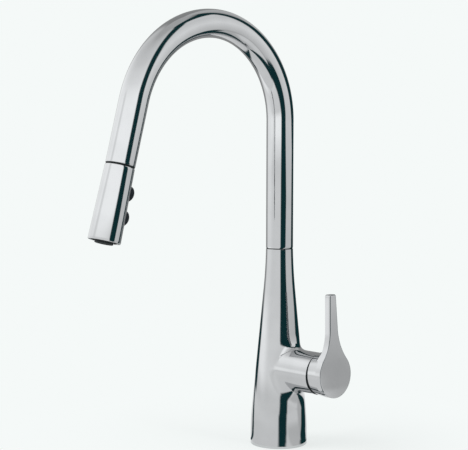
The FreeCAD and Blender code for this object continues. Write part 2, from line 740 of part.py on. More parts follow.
def make_stem():
    ball = ("ball_dia / 2", 1)
    body = turned("cartridge_stem", [
        ("0", "ball_place - ball_dia / 2"), ("ball_dia / 2", "ball_place"),
        ("stem_neck_dia / 2", "neck_foot"),
        ("stem_dia / 2", "ball_place + ball_dia"), ("stem_dia / 2", "stem_shank_start"),
        ("stem_shank_dia / 2", "stem_shank_start"), ("stem_shank_dia / 2", "stem_end"), ("0", "stem_end"),
    ], {0: ball, 1: ball}, HANDLE)
    drill(body, "stem_pin_hole", "XZ_Plane", "stem_dia", [("0", "pivot", "pin_dia + 2 * run_gap")],
          "2 * stem_dia")


def make_handle():
    """The hub and its lever, with one flat drop-shaped face."""
    body = turned("handle_lever", [
        ("hub_rim_dia / 2 - hub_rim_wall", "hub_rim"), ("hub_rim_dia / 2", "hub_rim"),
        ("hub_face_dia / 2", "hub_back"), ("0", "hub_back"), ("0", "pivot + hub_recess"),
    ], {4: ("hub_recess", -1)}, HANDLE)
    lever = [
        ("-lever_join_up", "lever_join_out"), ("-lever_root_up", "lever_width / 2"),
        ("-lever_length", "lever_top_width / 2"), ("-lever_length", "-lever_top_width / 2"),
        ("-lever_root_up", "-lever_width / 2"), ("-lever_join_up", "-lever_join_out"),
    ]
    round_end = ("hub_face_dia / 2", 1)
    sweep = ("lever_sweep", -1)
    drop = new_sketch(body, "drop_outline", "XY_Plane", "hub_face")
    trace(drop, lever + [("hub_face_dia / 2", "0")], {0: sweep, 4: sweep, 5: round_end, 6: round_end})
    pad(body, "drop_plate", drop, "lever_thickness", True)

    def on_face(edge):
        """True on the rim of the flat face."""
        return all(abs(spot.z - VALUES["hub_face"]) < TOUCH for spot in edge.discretize(5))

    fillet(body, "face_edge", "lever_edge", on_face)
    root = trace(new_sketch(body, "root_outline", "XY_Plane", "hub_back"), lever, {0: sweep, 4: sweep})
    pad(body, "lever_root", root, "lever_fillet", True)
    hollow = new_sketch(body, "root_hollow_section", "XZ_Plane")
    trace(hollow, [("root_radius", "root_foot"), ("root_radius + lever_fillet", "hub_back"),
                   ("2 * lever_length", "hub_back"), ("2 * lever_length", "root_foot")],
          {0: ("lever_fillet", -1)})
    grooved(body, "root_hollow", hollow, "360")
    drill(body, "stem_hole", "XY_Plane", "pivot", [("0", "0", "stem_bore")],
          "stem_end + press_gap - pivot", True)
    drill(body, "set_screw_hole", "YZ_Plane", "hub_face_dia / 2",
          [("0", "set_screw_place", "set_screw_dia + 2 * press_gap")], "hub_face_dia / 2")
    drill(body, "cap_hole", "YZ_Plane", "hub_face_dia / 2",
          [("0", "set_screw_place", "cap_dia + 2 * press_gap")], "hub_face_dia / 2 - cap_top + cap_height")

    for label, diameter, foot, height in (
            ("handle_set_screw", "set_screw_dia", "stem_shank_dia / 2 + press_gap", "set_screw_length"),
            ("set_screw_cap", "cap_dia", "cap_top - cap_height", "cap_height")):
        plug = new_body(label, HANDLE)
        sketch = new_sketch(plug, label + "_round", "YZ_Plane", foot)
        circles(sketch, [("0", "set_screw_place", diameter)])
        pad(plug, label + "_length", sketch, height)


def make_spout_bearing():
    inner, outer = "sleeve_dia / 2 + run_gap", "sleeve_dia / 2 + run_gap + bush_wall"
    turned("lower_bush", [
        (inner, "neck_floor - bush_flange"), ("bush_flange_dia / 2", "neck_floor - bush_flange"),
        ("bush_flange_dia / 2", "neck_floor"), (outer, "neck_floor"),
        (outer, "neck_floor + bush_length"), (inner, "neck_floor + bush_length"),
    ])
    turned("seam_bush", [
        (inner, "seam_height - bush_length"), (outer, "seam_height - bush_length"), (outer, "seam_height"),
        ("seam_flange_dia / 2", "seam_height"), ("seam_flange_dia / 2", "spout_foot"), (inner, "spout_foot"),
    ])
    clip_top = "neck_floor - bush_flange - clip_gap"
    clip_foot = clip_top + " - clip_thickness"
    groove = "sleeve_dia / 2 - clip_depth"
    sleeve = turned("spout_sleeve", [
        ("sleeve_bore / 2", clip_foot + " - sleeve_tail"), ("sleeve_dia / 2", clip_foot + " - sleeve_tail"),
        ("sleeve_dia / 2", clip_foot + " - press_gap"), (groove, clip_foot + " - press_gap"),
        (groove, clip_top + " + press_gap"), ("sleeve_dia / 2", clip_top + " + press_gap"),
        ("sleeve_dia / 2", "spout_foot"), ("tube_bore / 2 - press_gap", "spout_foot"),
        ("tube_bore / 2 - press_gap", "spout_foot + sleeve_rise"),
        ("sleeve_bore / 2", "spout_foot + sleeve_rise"),
    ])
    doc.recompute()
    band = new_sketch(sleeve, "stop_groove_section", "YZ_Plane")
    low, high = "stop_height - stop_dog_dia / 2 - free_gap", "stop_height + stop_dog_dia / 2 + free_gap"
    trace(band, [("stop_groove_floor / 2", low), ("sleeve_dia / 2 + run_gap", low),
                 ("sleeve_dia / 2 + run_gap", high), ("stop_groove_floor / 2", high)])
    grooved(sleeve, "stop_groove", band, "2 * (swivel_half_angle + stop_half_angle)")

    turned("retaining_ring", [
        (groove + " + press_gap", clip_foot), ("clip_dia / 2", clip_foot), ("clip_dia / 2", clip_top),
        (groove + " + press_gap", clip_top),
    ], turn="clip_angle")

    back = Placement(Vector(0, 0, VALUES["stop_height"]), Rotation(Vector(1, 0, 0), -90))
    tip = "stop_groove_floor / 2 + free_gap"
    turned("swivel_stop_screw", [
        ("0", tip), ("stop_dog_dia / 2", tip), ("stop_dog_dia / 2", tip + " + stop_dog"),
        ("stop_dia / 2", tip + " + stop_dog"), ("stop_dia / 2", "tube_radius"), ("0", "tube_radius"),
    ], at=back)


def spout_path(foot, end_out, end_up):
    """The spout's centre line from a height on the column to a point of the outlet run."""
    path = [
        ("0", foot), ("0", "column_top"), ("-rise_radius", "crown"), ("-fall_end_out", "fall_end_up"),
        ("-" + end_out, end_up),
    ]
    return path, {1: ("rise_radius", 1), 2: ("fall_radius", 1)}


def make_spout():
    piped("spout_tube", *spout_path("spout_foot", "outlet_out", "outlet_up"), "tube_dia", "tube_bore")
    piped("hose", *spout_path("hose_foot", "hose_end_out", "hose_end_up"), "hose_dia", "hose_bore")
    plug, bore = "tube_bore / 2 - press_gap", "tube_bore / 2 - press_gap - dock_wall"
    turned("dock_insert", [
        (bore, "-dock_depth"), (plug, "-dock_depth"), (plug, "0"), ("dock_flange_dia / 2", "0"),
        ("dock_flange_dia / 2", "dock_flange"), (bore, "dock_flange"),
    ], at=OUTLET)


def make_hose_end():
    ring("hose_ferrule", "(hose_dia + 2 * run_gap)", "(hose_dia + 2 * run_gap + 2 * ferrule_wall)",
         "-nut_depth - ferrule_length", "-nut_depth", OUTLET)
    ring("hose_nut", "hose_bore", "hose_nut_dia", "-nut_depth", "-nut_foot", OUTLET)
    ring("hose_seal", "washer_bore", "hose_nut_dia", "-nut_foot", "-washer_foot", OUTLET)


BUTTONS = {"upper": "upper_button_place", "lower": "lower_button_place"}


def make_spray_head():
    turned("spray_inlet", [
        ("spigot_bore / 2", "-spigot_depth"), ("spigot_dia / 2", "-spigot_depth"),
        ("spigot_dia / 2", "inlet_shoulder"), ("inlet_flange_dia / 2", "inlet_shoulder"),
        ("inlet_flange_dia / 2", "inlet_shoulder + inlet_flange"),
        ("inlet_tail_dia / 2", "inlet_shoulder + inlet_flange"), ("inlet_tail_dia / 2", "inlet_tail"),
        ("inlet_bore / 2", "inlet_tail"), ("inlet_bore / 2", "-washer_foot"),
        ("spigot_bore / 2", "-washer_foot"),
    ], at=OUTLET)
    ring("check_valve", "check_valve_bore", "(inlet_bore - 4 * press_gap)", "inlet_tail - check_valve_length",
         "inlet_tail", OUTLET)

    shell = turned("spray_shell", [
        ("spigot_dia / 2 + press_gap", "head_gap"), ("tube_radius - head_edge", "head_gap"),
        ("tube_radius", "head_gap + head_edge"), ("head_end_dia / 2", "head_end - head_edge"),
        ("head_end_dia / 2 - head_edge", "head_end"), ("head_end_dia / 2 - head_wall", "head_end"),
        ("tube_radius - head_wall", "inlet_shoulder"), ("spigot_dia / 2 + press_gap", "inlet_shoulder"),
    ], {1: ("head_edge", 1), 3: ("head_edge", 1)}, OUTLET)
    drill(shell, "button_holes", "XZ_Plane", "0",
          [("0", place, "button_dia + 2 * free_gap") for place in BUTTONS.values()], "tube_dia", True)

    core = ring("spray_core", "0", "core_dia", "inlet_tail", "core_end", OUTLET)
    doc.recompute()
    shelf = new_sketch(core, "core_shelf_outline", "XZ_Plane", "core_shelf")
    side = half("core_pocket_width")
    trace(shelf, [("-" + side, "core_pocket_top"), (side, "core_pocket_top"), (side, "core_pocket_end"),
                  ("-" + side, "core_pocket_end")])
    cut(core, "core_pocket", shelf, "core_dia", True)
    drill(core, "core_channel", "XY_Plane", "core_end", [("0", "core_channel", "core_channel_dia")],
          "core_end - inlet_tail")

    ring("core_seal", "core_seal_bore", "core_seal_dia", "core_end", "face_foot", OUTLET)
    bore = "aerator_dia / 2 + press_gap"
    turned("spray_face", [
        (bore, "face_foot"), ("face_dia / 2", "face_foot"), ("face_dia / 2", "face_rim"),
        ("face_boss_dia / 2", "face_rim"), ("face_boss_dia / 2", "face_end"), (bore, "face_end"),
    ], at=OUTLET)
    top = "face_end - aerator_recess"
    turned("aerator", [
        ("0", "face_foot"), ("aerator_dia / 2", "face_foot"), ("aerator_dia / 2", top),
        ("aerator_dia / 2 - aerator_dish", top), ("0", top + " - aerator_dish"),
    ], at=OUTLET)

    nozzles = new_body("nozzles", OUTLET)
    sketch = new_sketch(nozzles, "nozzle_round", "XY_Plane", "face_rim")
    circles(sketch, [("nozzle_circle / 2", "0", "nozzle_dia")])
    nozzle = pad(nozzles, "nozzle", sketch, "nozzle_height")
    row = nozzles.newObject("PartDesign::PolarPattern", "nozzle_row")
    row.Originals = [nozzle]
    row.Axis = (sketch, ["N_Axis"])
    row.Angle = 360
    row.setExpression("Occurrences", bound("nozzle_count"))
    nozzles.Tip = row


def make_buttons():
    for side, place in BUTTONS.items():
        spot = OUTLET.multiply(Placement(Vector(0, 0, number(place)), Rotation(Vector(1, 0, 0), 90)))
        turned(side + "_button", [
            ("0", "button_flange_foot"), ("button_flange_dia / 2", "button_flange_foot"),
            ("button_flange_dia / 2", "button_flange_foot + button_flange"),
            ("button_dia / 2", "button_flange_foot + button_flange"), ("button_dia / 2", "button_wall_top"),
            ("0", "button_top"),
        ], {4: ("button_dome", 1)}, spot)
        ring(side + "_return", "return_bore", "return_dia", "core_shelf", "button_flange_foot", spot)


def write_parts():
    """Check every object, then write each piece to its own file."""
    doc.recompute()
    failed = [item.Name for item in doc.Objects if "Invalid" in item.State or "Error" in item.State]
    if failed:
        raise ValueError("failed: " + ", ".join(failed))
    for piece in PIECES:
        if piece.Shape.isNull() or not piece.Shape.isValid() or not piece.Shape.Solids:
            raise ValueError("no sound shape: " + piece.Label)
    os.makedirs("parts", exist_ok=True)
    for piece in PIECES:
        piece.Shape.exportStep("parts/%s.step" % piece.Label)


make_body_shell()
make_base()
make_risers()
make_valve_body()
make_cartridge()
make_stem()
make_handle()
make_spout_bearing()
make_spout()
make_hose_end()
make_spray_head()
make_buttons()
write_parts()
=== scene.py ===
# %% [markdown]
# # A chromed pull-out kitchen faucet
# The CAD model gives every piece its place and size, and this lesson gives the pieces their looks.
# The frame is loaded first.

# %% Load the frame
import json
import math

import bmesh
import bpy
import numpy as np
from mathutils import Matrix, Vector

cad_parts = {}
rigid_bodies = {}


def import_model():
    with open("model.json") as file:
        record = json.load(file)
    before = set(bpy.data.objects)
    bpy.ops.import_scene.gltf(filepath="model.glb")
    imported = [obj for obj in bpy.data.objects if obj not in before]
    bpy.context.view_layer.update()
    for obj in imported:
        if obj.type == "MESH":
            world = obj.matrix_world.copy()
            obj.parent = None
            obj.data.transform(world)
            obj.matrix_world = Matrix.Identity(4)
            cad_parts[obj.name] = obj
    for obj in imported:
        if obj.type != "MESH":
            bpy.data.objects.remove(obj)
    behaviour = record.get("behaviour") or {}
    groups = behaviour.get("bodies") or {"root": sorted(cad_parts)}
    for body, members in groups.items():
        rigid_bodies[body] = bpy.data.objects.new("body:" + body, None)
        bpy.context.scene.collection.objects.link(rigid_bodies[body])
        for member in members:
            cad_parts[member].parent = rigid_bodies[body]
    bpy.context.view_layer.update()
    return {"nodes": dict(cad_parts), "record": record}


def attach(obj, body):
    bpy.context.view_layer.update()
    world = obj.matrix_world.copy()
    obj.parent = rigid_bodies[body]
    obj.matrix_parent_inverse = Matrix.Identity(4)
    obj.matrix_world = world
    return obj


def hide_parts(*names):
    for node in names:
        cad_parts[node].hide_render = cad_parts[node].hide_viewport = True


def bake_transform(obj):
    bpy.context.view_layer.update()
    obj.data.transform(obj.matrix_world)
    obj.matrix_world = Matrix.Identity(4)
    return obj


for leftover in list(bpy.data.objects):
    bpy.data.objects.remove(leftover)
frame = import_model()
MM = 0.001


def placed(name, data):
    """A new object in the scene."""
    thing = bpy.data.objects.new(name, data)
    bpy.context.scene.collection.objects.link(thing)
    return thing


# %% [markdown]
# ## Camera
# The picture was taken from a little over a metre away, about as high as the spout's column ends,
# between the spout and the handle. A long lens keeps the tube's edges nearly parallel. The camera
# is set by where it stands and by three small angles, so that each can be read and changed alone.

# %% Camera
FRAME_WIDTH = 468
FOCAL_PIXELS = 1276.305
SENSOR = 36.0
CAMERA_DISTANCE, CAMERA_HEIGHT = 1.227073, 0.303982
CAMERA_SIDE = math.radians(44.112)
PAN, TILT, ROLL = math.radians(-2.053), math.radians(4.266), math.radians(0.106)

rightwards = Vector((math.cos(CAMERA_SIDE), math.sin(CAMERA_SIDE), 0))
to_camera = Vector((math.sin(CAMERA_SIDE), -math.cos(CAMERA_SIDE), 0))
upwards = Vector((0, 0, 1))
level = math.sin(PAN) * rightwards - math.cos(PAN) * to_camera
ahead = math.cos(TILT) * level - math.sin(TILT) * upwards
side = math.cos(PAN) * rightwards + math.sin(PAN) * to_camera
top = side.cross(ahead)
side, top = math.cos(ROLL) * side + math.sin(ROLL) * top, math.cos(ROLL) * top - math.sin(ROLL) * side

lens = bpy.data.cameras.new("studio_camera")
lens.sensor_width = SENSOR
lens.lens = SENSOR * FOCAL_PIXELS / FRAME_WIDTH
camera = placed("studio_camera", lens)
turn = Matrix((side, top, -ahead)).transposed().to_4x4()
camera.matrix_world = Matrix.Translation(CAMERA_DISTANCE * to_camera + CAMERA_HEIGHT * upwards) @ turn
bpy.context.scene.camera = camera
bpy.context.scene.view_settings.view_transform = "Standard"
print("camera at", [round(x, 3) for x in camera.location], "lens", round(lens.lens, 2))

# %% [markdown]
# ## Node helper for the finishes
# Every finish is a small node tree that reads Object coordinates, so a pattern keeps its real size.
# Noise drives colour, roughness and a little bump: no real surface is the same all over.

# %% Finish helper
def wire(tree, *wires):
    """Join sockets, each given as node, output, node, input."""
    for start, output, end, entry in wires:
        tree.links.new(start.outputs[output], end.inputs[entry])


def new_finish(name, metal, colours, rough, grain, bump=0.0, **constants):
    """A procedural material: noise of one grain size moves its colour, roughness and bump.

    colours and rough are the two ends that the noise moves between; grain is in metres.
    """
    material = bpy.data.materials.new(name)
    material.use_nodes = True
    tree, nodes = material.node_tree, material.node_tree.nodes
    shader = nodes["Principled BSDF"]
    shader.inputs["Metallic"].default_value = metal
    for socket, value in constants.items():
        shader.inputs[socket.replace("_", " ")].default_value = value
    place = nodes.new("ShaderNodeTexCoord")
    noise = nodes.new("ShaderNodeTexNoise")
    noise.inputs["Scale"].default_value = 1 / grain
    noise.inputs["Detail"].default_value = 3.0
    ramp = nodes.new("ShaderNodeValToRGB")
    ramp.color_ramp.elements[0].position, ramp.color_ramp.elements[1].position = 0.35, 0.65
    for stop, colour in zip(ramp.color_ramp.elements, colours):
        stop.color = (*colour, 1)
    spread = nodes.new("ShaderNodeMapRange")
    spread.inputs["From Min"].default_value, spread.inputs["From Max"].default_value = 0.3, 0.7
    spread.inputs["To Min"].default_value, spread.inputs["To Max"].default_value = rough
    wire(tree, (place, "Object", noise, "Vector"), (noise, "Fac", ramp, "Fac"), (ramp, "Color", shader, "Base Color"),
         (noise, "Fac", spread, "Value"), (spread, "Result", shader, "Roughness"))
    if bump:
        relief = nodes.new("ShaderNodeBump")
        relief.inputs["Strength"].default_value = 1.0
        relief.inputs["Distance"].default_value = bump
        wire(tree, (noise, "Fac", relief, "Height"), (relief, "Normal", shader, "Normal"))
    return material


# %% Finishes
FINISHES = {
    "chrome": new_finish("polished_chrome", 1, [(0.575, 0.58, 0.59), (0.605, 0.61, 0.62)], (0.06, 0.09), 0.02),
    "black_trim": new_finish("satin_black_trim", 0, [(0.004, 0.008, 0.009), (0.008, 0.013, 0.014)], (0.45, 0.6),
                             0.0008, 0.00001, Specular_IOR_Level=0.25),
    "button_black": new_finish("button_black", 0, [(0.006, 0.01, 0.014), (0.011, 0.016, 0.021)], (0.35, 0.5),
                               0.0006, 0.00002, Specular_IOR_Level=0.15),
    "spray_plate": new_finish("spray_plate_grey", 0, [(0.01, 0.015, 0.017), (0.018, 0.024, 0.026)], (0.45, 0.6),
                              0.0007, 0.00002, Specular_IOR_Level=0.25),
    "brass": new_finish("machined_brass", 1, [(0.62, 0.43, 0.17), (0.75, 0.55, 0.25)], (0.2, 0.4), 0.003, 0.00001),
    "copper": new_finish("drawn_copper", 1, [(0.55, 0.25, 0.15), (0.75, 0.4, 0.27)], (0.2, 0.45), 0.006),
    "steel": new_finish("machined_steel", 1, [(0.5, 0.51, 0.52), (0.62, 0.63, 0.64)], (0.2, 0.35), 0.0015,
                        0.000005),
    "rubber_black": new_finish("black_rubber", 0, [(0.01, 0.01, 0.01), (0.025, 0.025, 0.026)], (0.6, 0.8),
                               0.0009, 0.00003),
    "bearing_plastic": new_finish("cream_acetal", 0, [(0.66, 0.64, 0.58), (0.74, 0.72, 0.67)], (0.35, 0.5), 0.002),
    "white_plastic": new_finish("white_moulding", 0, [(0.72, 0.73, 0.73), (0.79, 0.8, 0.8)], (0.3, 0.45), 0.002),
    "ceramic": new_finish("lapped_ceramic", 0, [(0.8, 0.78, 0.74), (0.86, 0.85, 0.82)], (0.08, 0.15), 0.0015),
    "hose_grey": new_finish("grey_hose_sheath", 0, [(0.1, 0.105, 0.11), (0.2, 0.205, 0.21)], (0.4, 0.6), 0.0012,
                            0.00006),
}
print("finishes", len(FINISHES))

# %% [markdown]
# ## Skin helpers
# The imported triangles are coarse, and a mirror shows every one of them. So each piece that can be
# seen is made again as a fine mesh on the same sizes. Most pieces of a faucet are turned on a lathe:
# an outline of radius and height, with small rounds at its corners, goes round an axis.

# %% Skin helpers
SHARP = math.radians(35)
AROUND = 144


def swing(start, end, share):
    """A spoke part of the way round from start to end, of the same length."""
    return start.slerp(end, share) * start.length


def rounded(corners, steps=5):
    """An outline in which each corner (radius, height, round) is an arc of that round."""
    points = []
    count = len(corners)
    for at, corner in enumerate(corners):
        spot = Vector(corner[:2])
        size = corner[2] if len(corner) > 2 else 0
        if not size:
            points.append(spot)
            continue
        back = (Vector(corners[at - 1][:2]) - spot).normalized()
        on = (Vector(corners[(at + 1) % count][:2]) - spot).normalized()
        half = back.angle(on) / 2
        centre = spot + (back + on).normalized() * (size / math.sin(half))
        first = spot + back * (size / math.tan(half)) - centre
        last = spot + on * (size / math.tan(half)) - centre
        points += [centre + swing(first, last, step / steps) for step in range(steps + 1)]
    return points


def spaced(points, step, closed):
    """The outline with no span longer than step."""
    ends = points[1:] + points[:1] if closed else points[1:]
    result = []
    for start, end in zip(points, ends):
        parts = max(1, math.ceil((end - start).length / step))
        result += [start.lerp(end, part / parts) for part in range(parts)]
    return result if closed else result + [points[-1]]


def skin(rows, closed=False, cap_last=False):
    """Faces between rows of points that run round an axis; a row of one point is a pole."""
    bm = bmesh.new()
    made = [[bm.verts.new(spot) for spot in row] for row in rows]
    for low, high in zip(made, made[1:] + (made[:1] if closed else [])):
        for at in range(max(len(low), len(high))):
            ring = [low[at % len(low)], low[(at + 1) % len(low)],
                    high[(at + 1) % len(high)], high[at % len(high)]]
            bm.faces.new(dict.fromkeys(ring))
    if cap_last:
        bm.faces.new(made[-1])
    bmesh.ops.recalc_face_normals(bm, faces=bm.faces)
    return bm


def turned(points, place, closed=True, around=AROUND):
    """The outline (radius, height), in millimetres, turned about the Z axis of place."""
    angles = [2 * math.pi * at / around for at in range(around)]
    rows = []
    for radius, height in points:
        if radius < 1e-6:
            rows.append([place @ Vector((0, 0, height)) * MM])
        else:
            rows.append([place @ Vector((radius * math.cos(a), radius * math.sin(a), height)) * MM
                         for a in angles])
    return skin(rows, closed)


def new_object(name, bm):
    """An object of what was built in bm."""
    mesh = bpy.data.meshes.new(name)
    bm.to_mesh(mesh)
    bm.free()
    return placed(name, mesh)


def cut_out(piece, *cutters):
    """Take the cutters' shapes out of the piece."""
    for cutter in cutters:
        tool = new_object("cutter", cutter)
        work = piece.modifiers.new("cut", "BOOLEAN")
        work.operation, work.solver, work.object = "DIFFERENCE", "EXACT", tool
        plain(piece)
        bpy.data.objects.remove(tool)


def plain(piece):
    """Swap the piece's data for the plain mesh that its modifiers give."""
    seen = piece.evaluated_get(bpy.context.evaluated_depsgraph_get())
    mesh = bpy.data.meshes.new_from_object(seen)
    piece.modifiers.clear()
    piece.data = mesh


def coated(piece, slot):
    """Give the piece its finish, smooth up to its sharp edges."""
    mesh = piece.data
    mesh.materials.clear()
    mesh.materials.append(FINISHES[slot])
    mesh.shade_smooth()
    mesh.set_sharp_from_angle(angle=SHARP)
    print(piece.name, "faces", len(mesh.polygons))


def finished(piece, slot, body, *nodes):
    """Give the piece its finish and its body, and let it stand for the CAD nodes."""
    coated(piece, slot)
    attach(piece, body)
    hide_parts(*nodes)


# %% [markdown]
# ## The four places
# Pieces are turned about four axes: the faucet's own upright one, the valve's, which stands out to
# the side, the handle's, which leans three degrees from the valve's, and the outlet's, which slopes.

# %% Places
BOSS_HEIGHT, PIVOT, LEAN = 75.0, 42.2, math.radians(3)
UPRIGHT = Matrix.Identity(4)
VALVE = Matrix.Translation((0, 0, BOSS_HEIGHT)) @ Matrix.Rotation(math.pi / 2, 4, "Y")
HANDLE = (VALVE @ Matrix.Translation((0, 0, PIVOT)) @ Matrix.Rotation(-LEAN, 4, "Y")
          @ Matrix.Translation((0, 0, -PIVOT)))
OUTLET_TILT = math.radians(15.5)
COLUMN_TOP, RISE, FALL, OUTLET_RUN = 313.0, 87.0, 97.0, 57.0
fall_end = Vector((0, -RISE - FALL * math.cos(OUTLET_TILT),
                   COLUMN_TOP + RISE - FALL + FALL * math.sin(OUTLET_TILT)))
outlet_way = Vector((0, -math.sin(OUTLET_TILT), -math.cos(OUTLET_TILT)))
outlet = fall_end + OUTLET_RUN * outlet_way
OUTLET = Matrix.Translation(outlet) @ Matrix.Rotation(math.pi - OUTLET_TILT, 4, "X")
print("outlet", [round(x, 2) for x in outlet])

# %% [markdown]
# ## Spout
# The spout is one tube of 26 mm, bent in two arcs that meet at the top. A tube that follows a line
# is what Geometry Nodes' Curve to Mesh is for: the line is a Bezier curve of straight runs and arcs,
# and the tree's inputs are the tube's radius, the length of a step and the number of sides.

# %% Tube along a line
def new_tree(name, inputs, output, kinds):
    """A Geometry Nodes tree with these inputs and nodes, and the list of its nodes."""
    tree = bpy.data.node_groups.new(name, "GeometryNodeTree")
    for label, kind in inputs:
        tree.interface.new_socket(label, in_out="INPUT", socket_type="NodeSocket" + kind)
    tree.interface.new_socket(output, in_out="OUTPUT", socket_type="NodeSocketGeometry")
    kinds = ("NodeGroupInput", *("GeometryNode" + kind for kind in kinds), "NodeGroupOutput")
    return tree, [tree.nodes.new(kind) for kind in kinds]


TUBE_TREE, (sizes, steps, section, sweep, real, paint, result) = new_tree(
    "tube_along_a_line",
    [("Line", "Geometry"), ("Radius", "Float"), ("Step", "Float"), ("Sides", "Int"), ("Finish", "Material")], "Tube",
    ["ResampleCurve", "CurvePrimitiveCircle", "CurveToMesh", "RealizeInstances", "SetMaterial"])
steps.mode = "LENGTH"
wire(TUBE_TREE, (sizes, "Line", steps, "Curve"), (sizes, "Step", steps, "Length"),
     (sizes, "Radius", section, "Radius"), (sizes, "Sides", section, "Resolution"),
     (steps, "Curve", sweep, "Curve"), (section, "Curve", sweep, "Profile Curve"),
     (sweep, "Mesh", real, "Geometry"), (real, "Geometry", paint, "Geometry"),
     (sizes, "Finish", paint, "Material"), (paint, "Geometry", result, "Tube"))


def set_inputs(modifier, values):
    """Set a tree's inputs by their names."""
    for socket in modifier.node_group.interface.items_tree:
        if socket.in_out == "INPUT" and socket.name in values:
            modifier[socket.identifier] = values[socket.name]


def arc_points(centre, radius, first, last, parts):
    """Bezier points (spot, handle before, handle after) on an arc in the spout's plane."""
    angle = (last - first) / parts
    reach = 4 / 3 * math.tan(angle / 4) * radius
    result = []
    for part in range(parts + 1):
        way = first + angle * part
        spot = centre + radius * Vector((0, math.cos(way), math.sin(way)))
        along = reach * Vector((0, -math.sin(way), math.cos(way)))
        result.append((spot, spot - along, spot + along))
    return result


def straight(spot):
    """A Bezier point without a bend."""
    return (spot, spot, spot)


def tube(name, line, radius, wall, step, sides):
    """A tube with a wall along Bezier points, as a plain mesh."""
    curve = bpy.data.curves.new(name + "_line", "CURVE")
    curve.dimensions = "3D"
    curve.resolution_u = 64
    spline = curve.splines.new("BEZIER")
    spline.bezier_points.add(len(line) - 1)
    for knot, (spot, before, after) in zip(spline.bezier_points, line):
        knot.handle_left_type = knot.handle_right_type = "FREE"
        knot.co, knot.handle_left, knot.handle_right = spot * MM, before * MM, after * MM
    piece = placed(name + "_line", curve)
    sweep = piece.modifiers.new("sweep", "NODES")
    sweep.node_group = TUBE_TREE
    set_inputs(sweep, {"Radius": radius * MM, "Step": step * MM, "Sides": sides,
                       "Finish": FINISHES["chrome"]})
    seen = piece.evaluated_get(bpy.context.evaluated_depsgraph_get())
    mesh = bpy.data.meshes.new_from_object(seen)
    bpy.data.objects.remove(piece)
    result = placed(name, mesh)
    thick = result.modifiers.new("wall", "SOLIDIFY")
    thick.thickness, thick.offset, thick.use_even_offset = wall * MM, -1, True
    rim = result.modifiers.new("rim", "BEVEL")
    rim.width, rim.segments, rim.angle_limit = 0.15 * MM, 2, math.radians(50)
    plain(result)
    return result


# %% Spout tube
SPOUT_FOOT, TUBE_RADIUS, TUBE_WALL = 190.8, 13.0, 1.2
rise = arc_points(Vector((0, -RISE, COLUMN_TOP)), RISE, 0, math.pi / 2, 2)
fall = arc_points(Vector((0, -RISE, COLUMN_TOP + RISE - FALL)), FALL, math.pi / 2, math.pi - OUTLET_TILT, 2)
crown = (rise[-1][0], rise[-1][1], fall[0][2])
foot = Vector((0, 0, SPOUT_FOOT))
rise[0] = (rise[0][0], rise[0][0], rise[0][2])
last_knot = (fall[-1][0], fall[-1][1], fall[-1][0])
bends = rise[:-1] + [crown] + fall[1:-1] + [last_knot]
finished(tube("spout_skin", [straight(foot)] + bends + [straight(outlet)], TUBE_RADIUS, TUBE_WALL, 1.5, 112),
         "chrome", "spout", "spout_tube")

# %% [markdown]
# ## Body casting
# The body is a trumpet: a base that bulges a little, a straight taper, and a neck that sweeps up to
# the tube's size. The boss for the valve grows out of its side with a round of 12 mm. A union of two
# meshes would leave ragged triangles in the mirror there. So the round is laid out as a ball of 12 mm
# would roll it: for each direction round the boss, the ball's centre is worked out, and with it the
# two lines where the ball touches the taper and the boss. A plain ball's arc starts with a jump in its
# bend, and chrome shows that as a crease, so the arc is eased: a curve of the fifth degree leaves each
# surface a little early and meets it with no jump.

# %% Casting outline
BASE_RADIUS, HIP_RADIUS, WAIST_RADIUS = 27.4, 25.75, 15.3
HIP, WAIST, SEAM = 40.55, 150.0, 190.0
EDGE = 0.5
TAPER = math.atan((HIP_RADIUS - WAIST_RADIUS) / (WAIST - HIP))


def sweep_circle(across, up, offset):
    """Radius of the arc that leaves the taper and ends across and up from there."""
    return (across ** 2 + up ** 2) / 2 / offset


hip_up, neck_up = HIP - EDGE, SEAM - WAIST
hip_across, neck_across = BASE_RADIUS - HIP_RADIUS, WAIST_RADIUS - TUBE_RADIUS
HIP_SWEEP = sweep_circle(hip_across, hip_up, hip_up * math.sin(TAPER) - hip_across * math.cos(TAPER))
NECK_SWEEP = sweep_circle(neck_across, neck_up, neck_up * math.sin(TAPER) - neck_across * math.cos(TAPER))


def casting_radius(height):
    """Outer radius of the casting at a height."""
    if height < HIP:
        centre, level_at = HIP_RADIUS - HIP_SWEEP * math.cos(TAPER), HIP - HIP_SWEEP * math.sin(TAPER)
        return centre + math.sqrt(HIP_SWEEP ** 2 - (height - level_at) ** 2)
    if height > WAIST:
        centre, level_at = WAIST_RADIUS + NECK_SWEEP * math.cos(TAPER), WAIST + NECK_SWEEP * math.sin(TAPER)
        return centre - math.sqrt(NECK_SWEEP ** 2 - (height - level_at) ** 2)
    return WAIST_RADIUS + (WAIST - height) * math.tan(TAPER)


print("base", round(casting_radius(EDGE), 3), "seam", round(casting_radius(SEAM), 3))

# %% Round of the boss
BOSS_RADIUS, BOSS_END, BOSS_BORE, BOSS_ROUND, EASE = 19.65, 53.8, 15.45, 12.0, 3.0
ROUND_ROWS = 30


def on_casting(angle, height):
    """The point of the casting's skin at an angle and a height."""
    radius = casting_radius(height)
    return Vector((radius * math.cos(angle), radius * math.sin(angle), height))


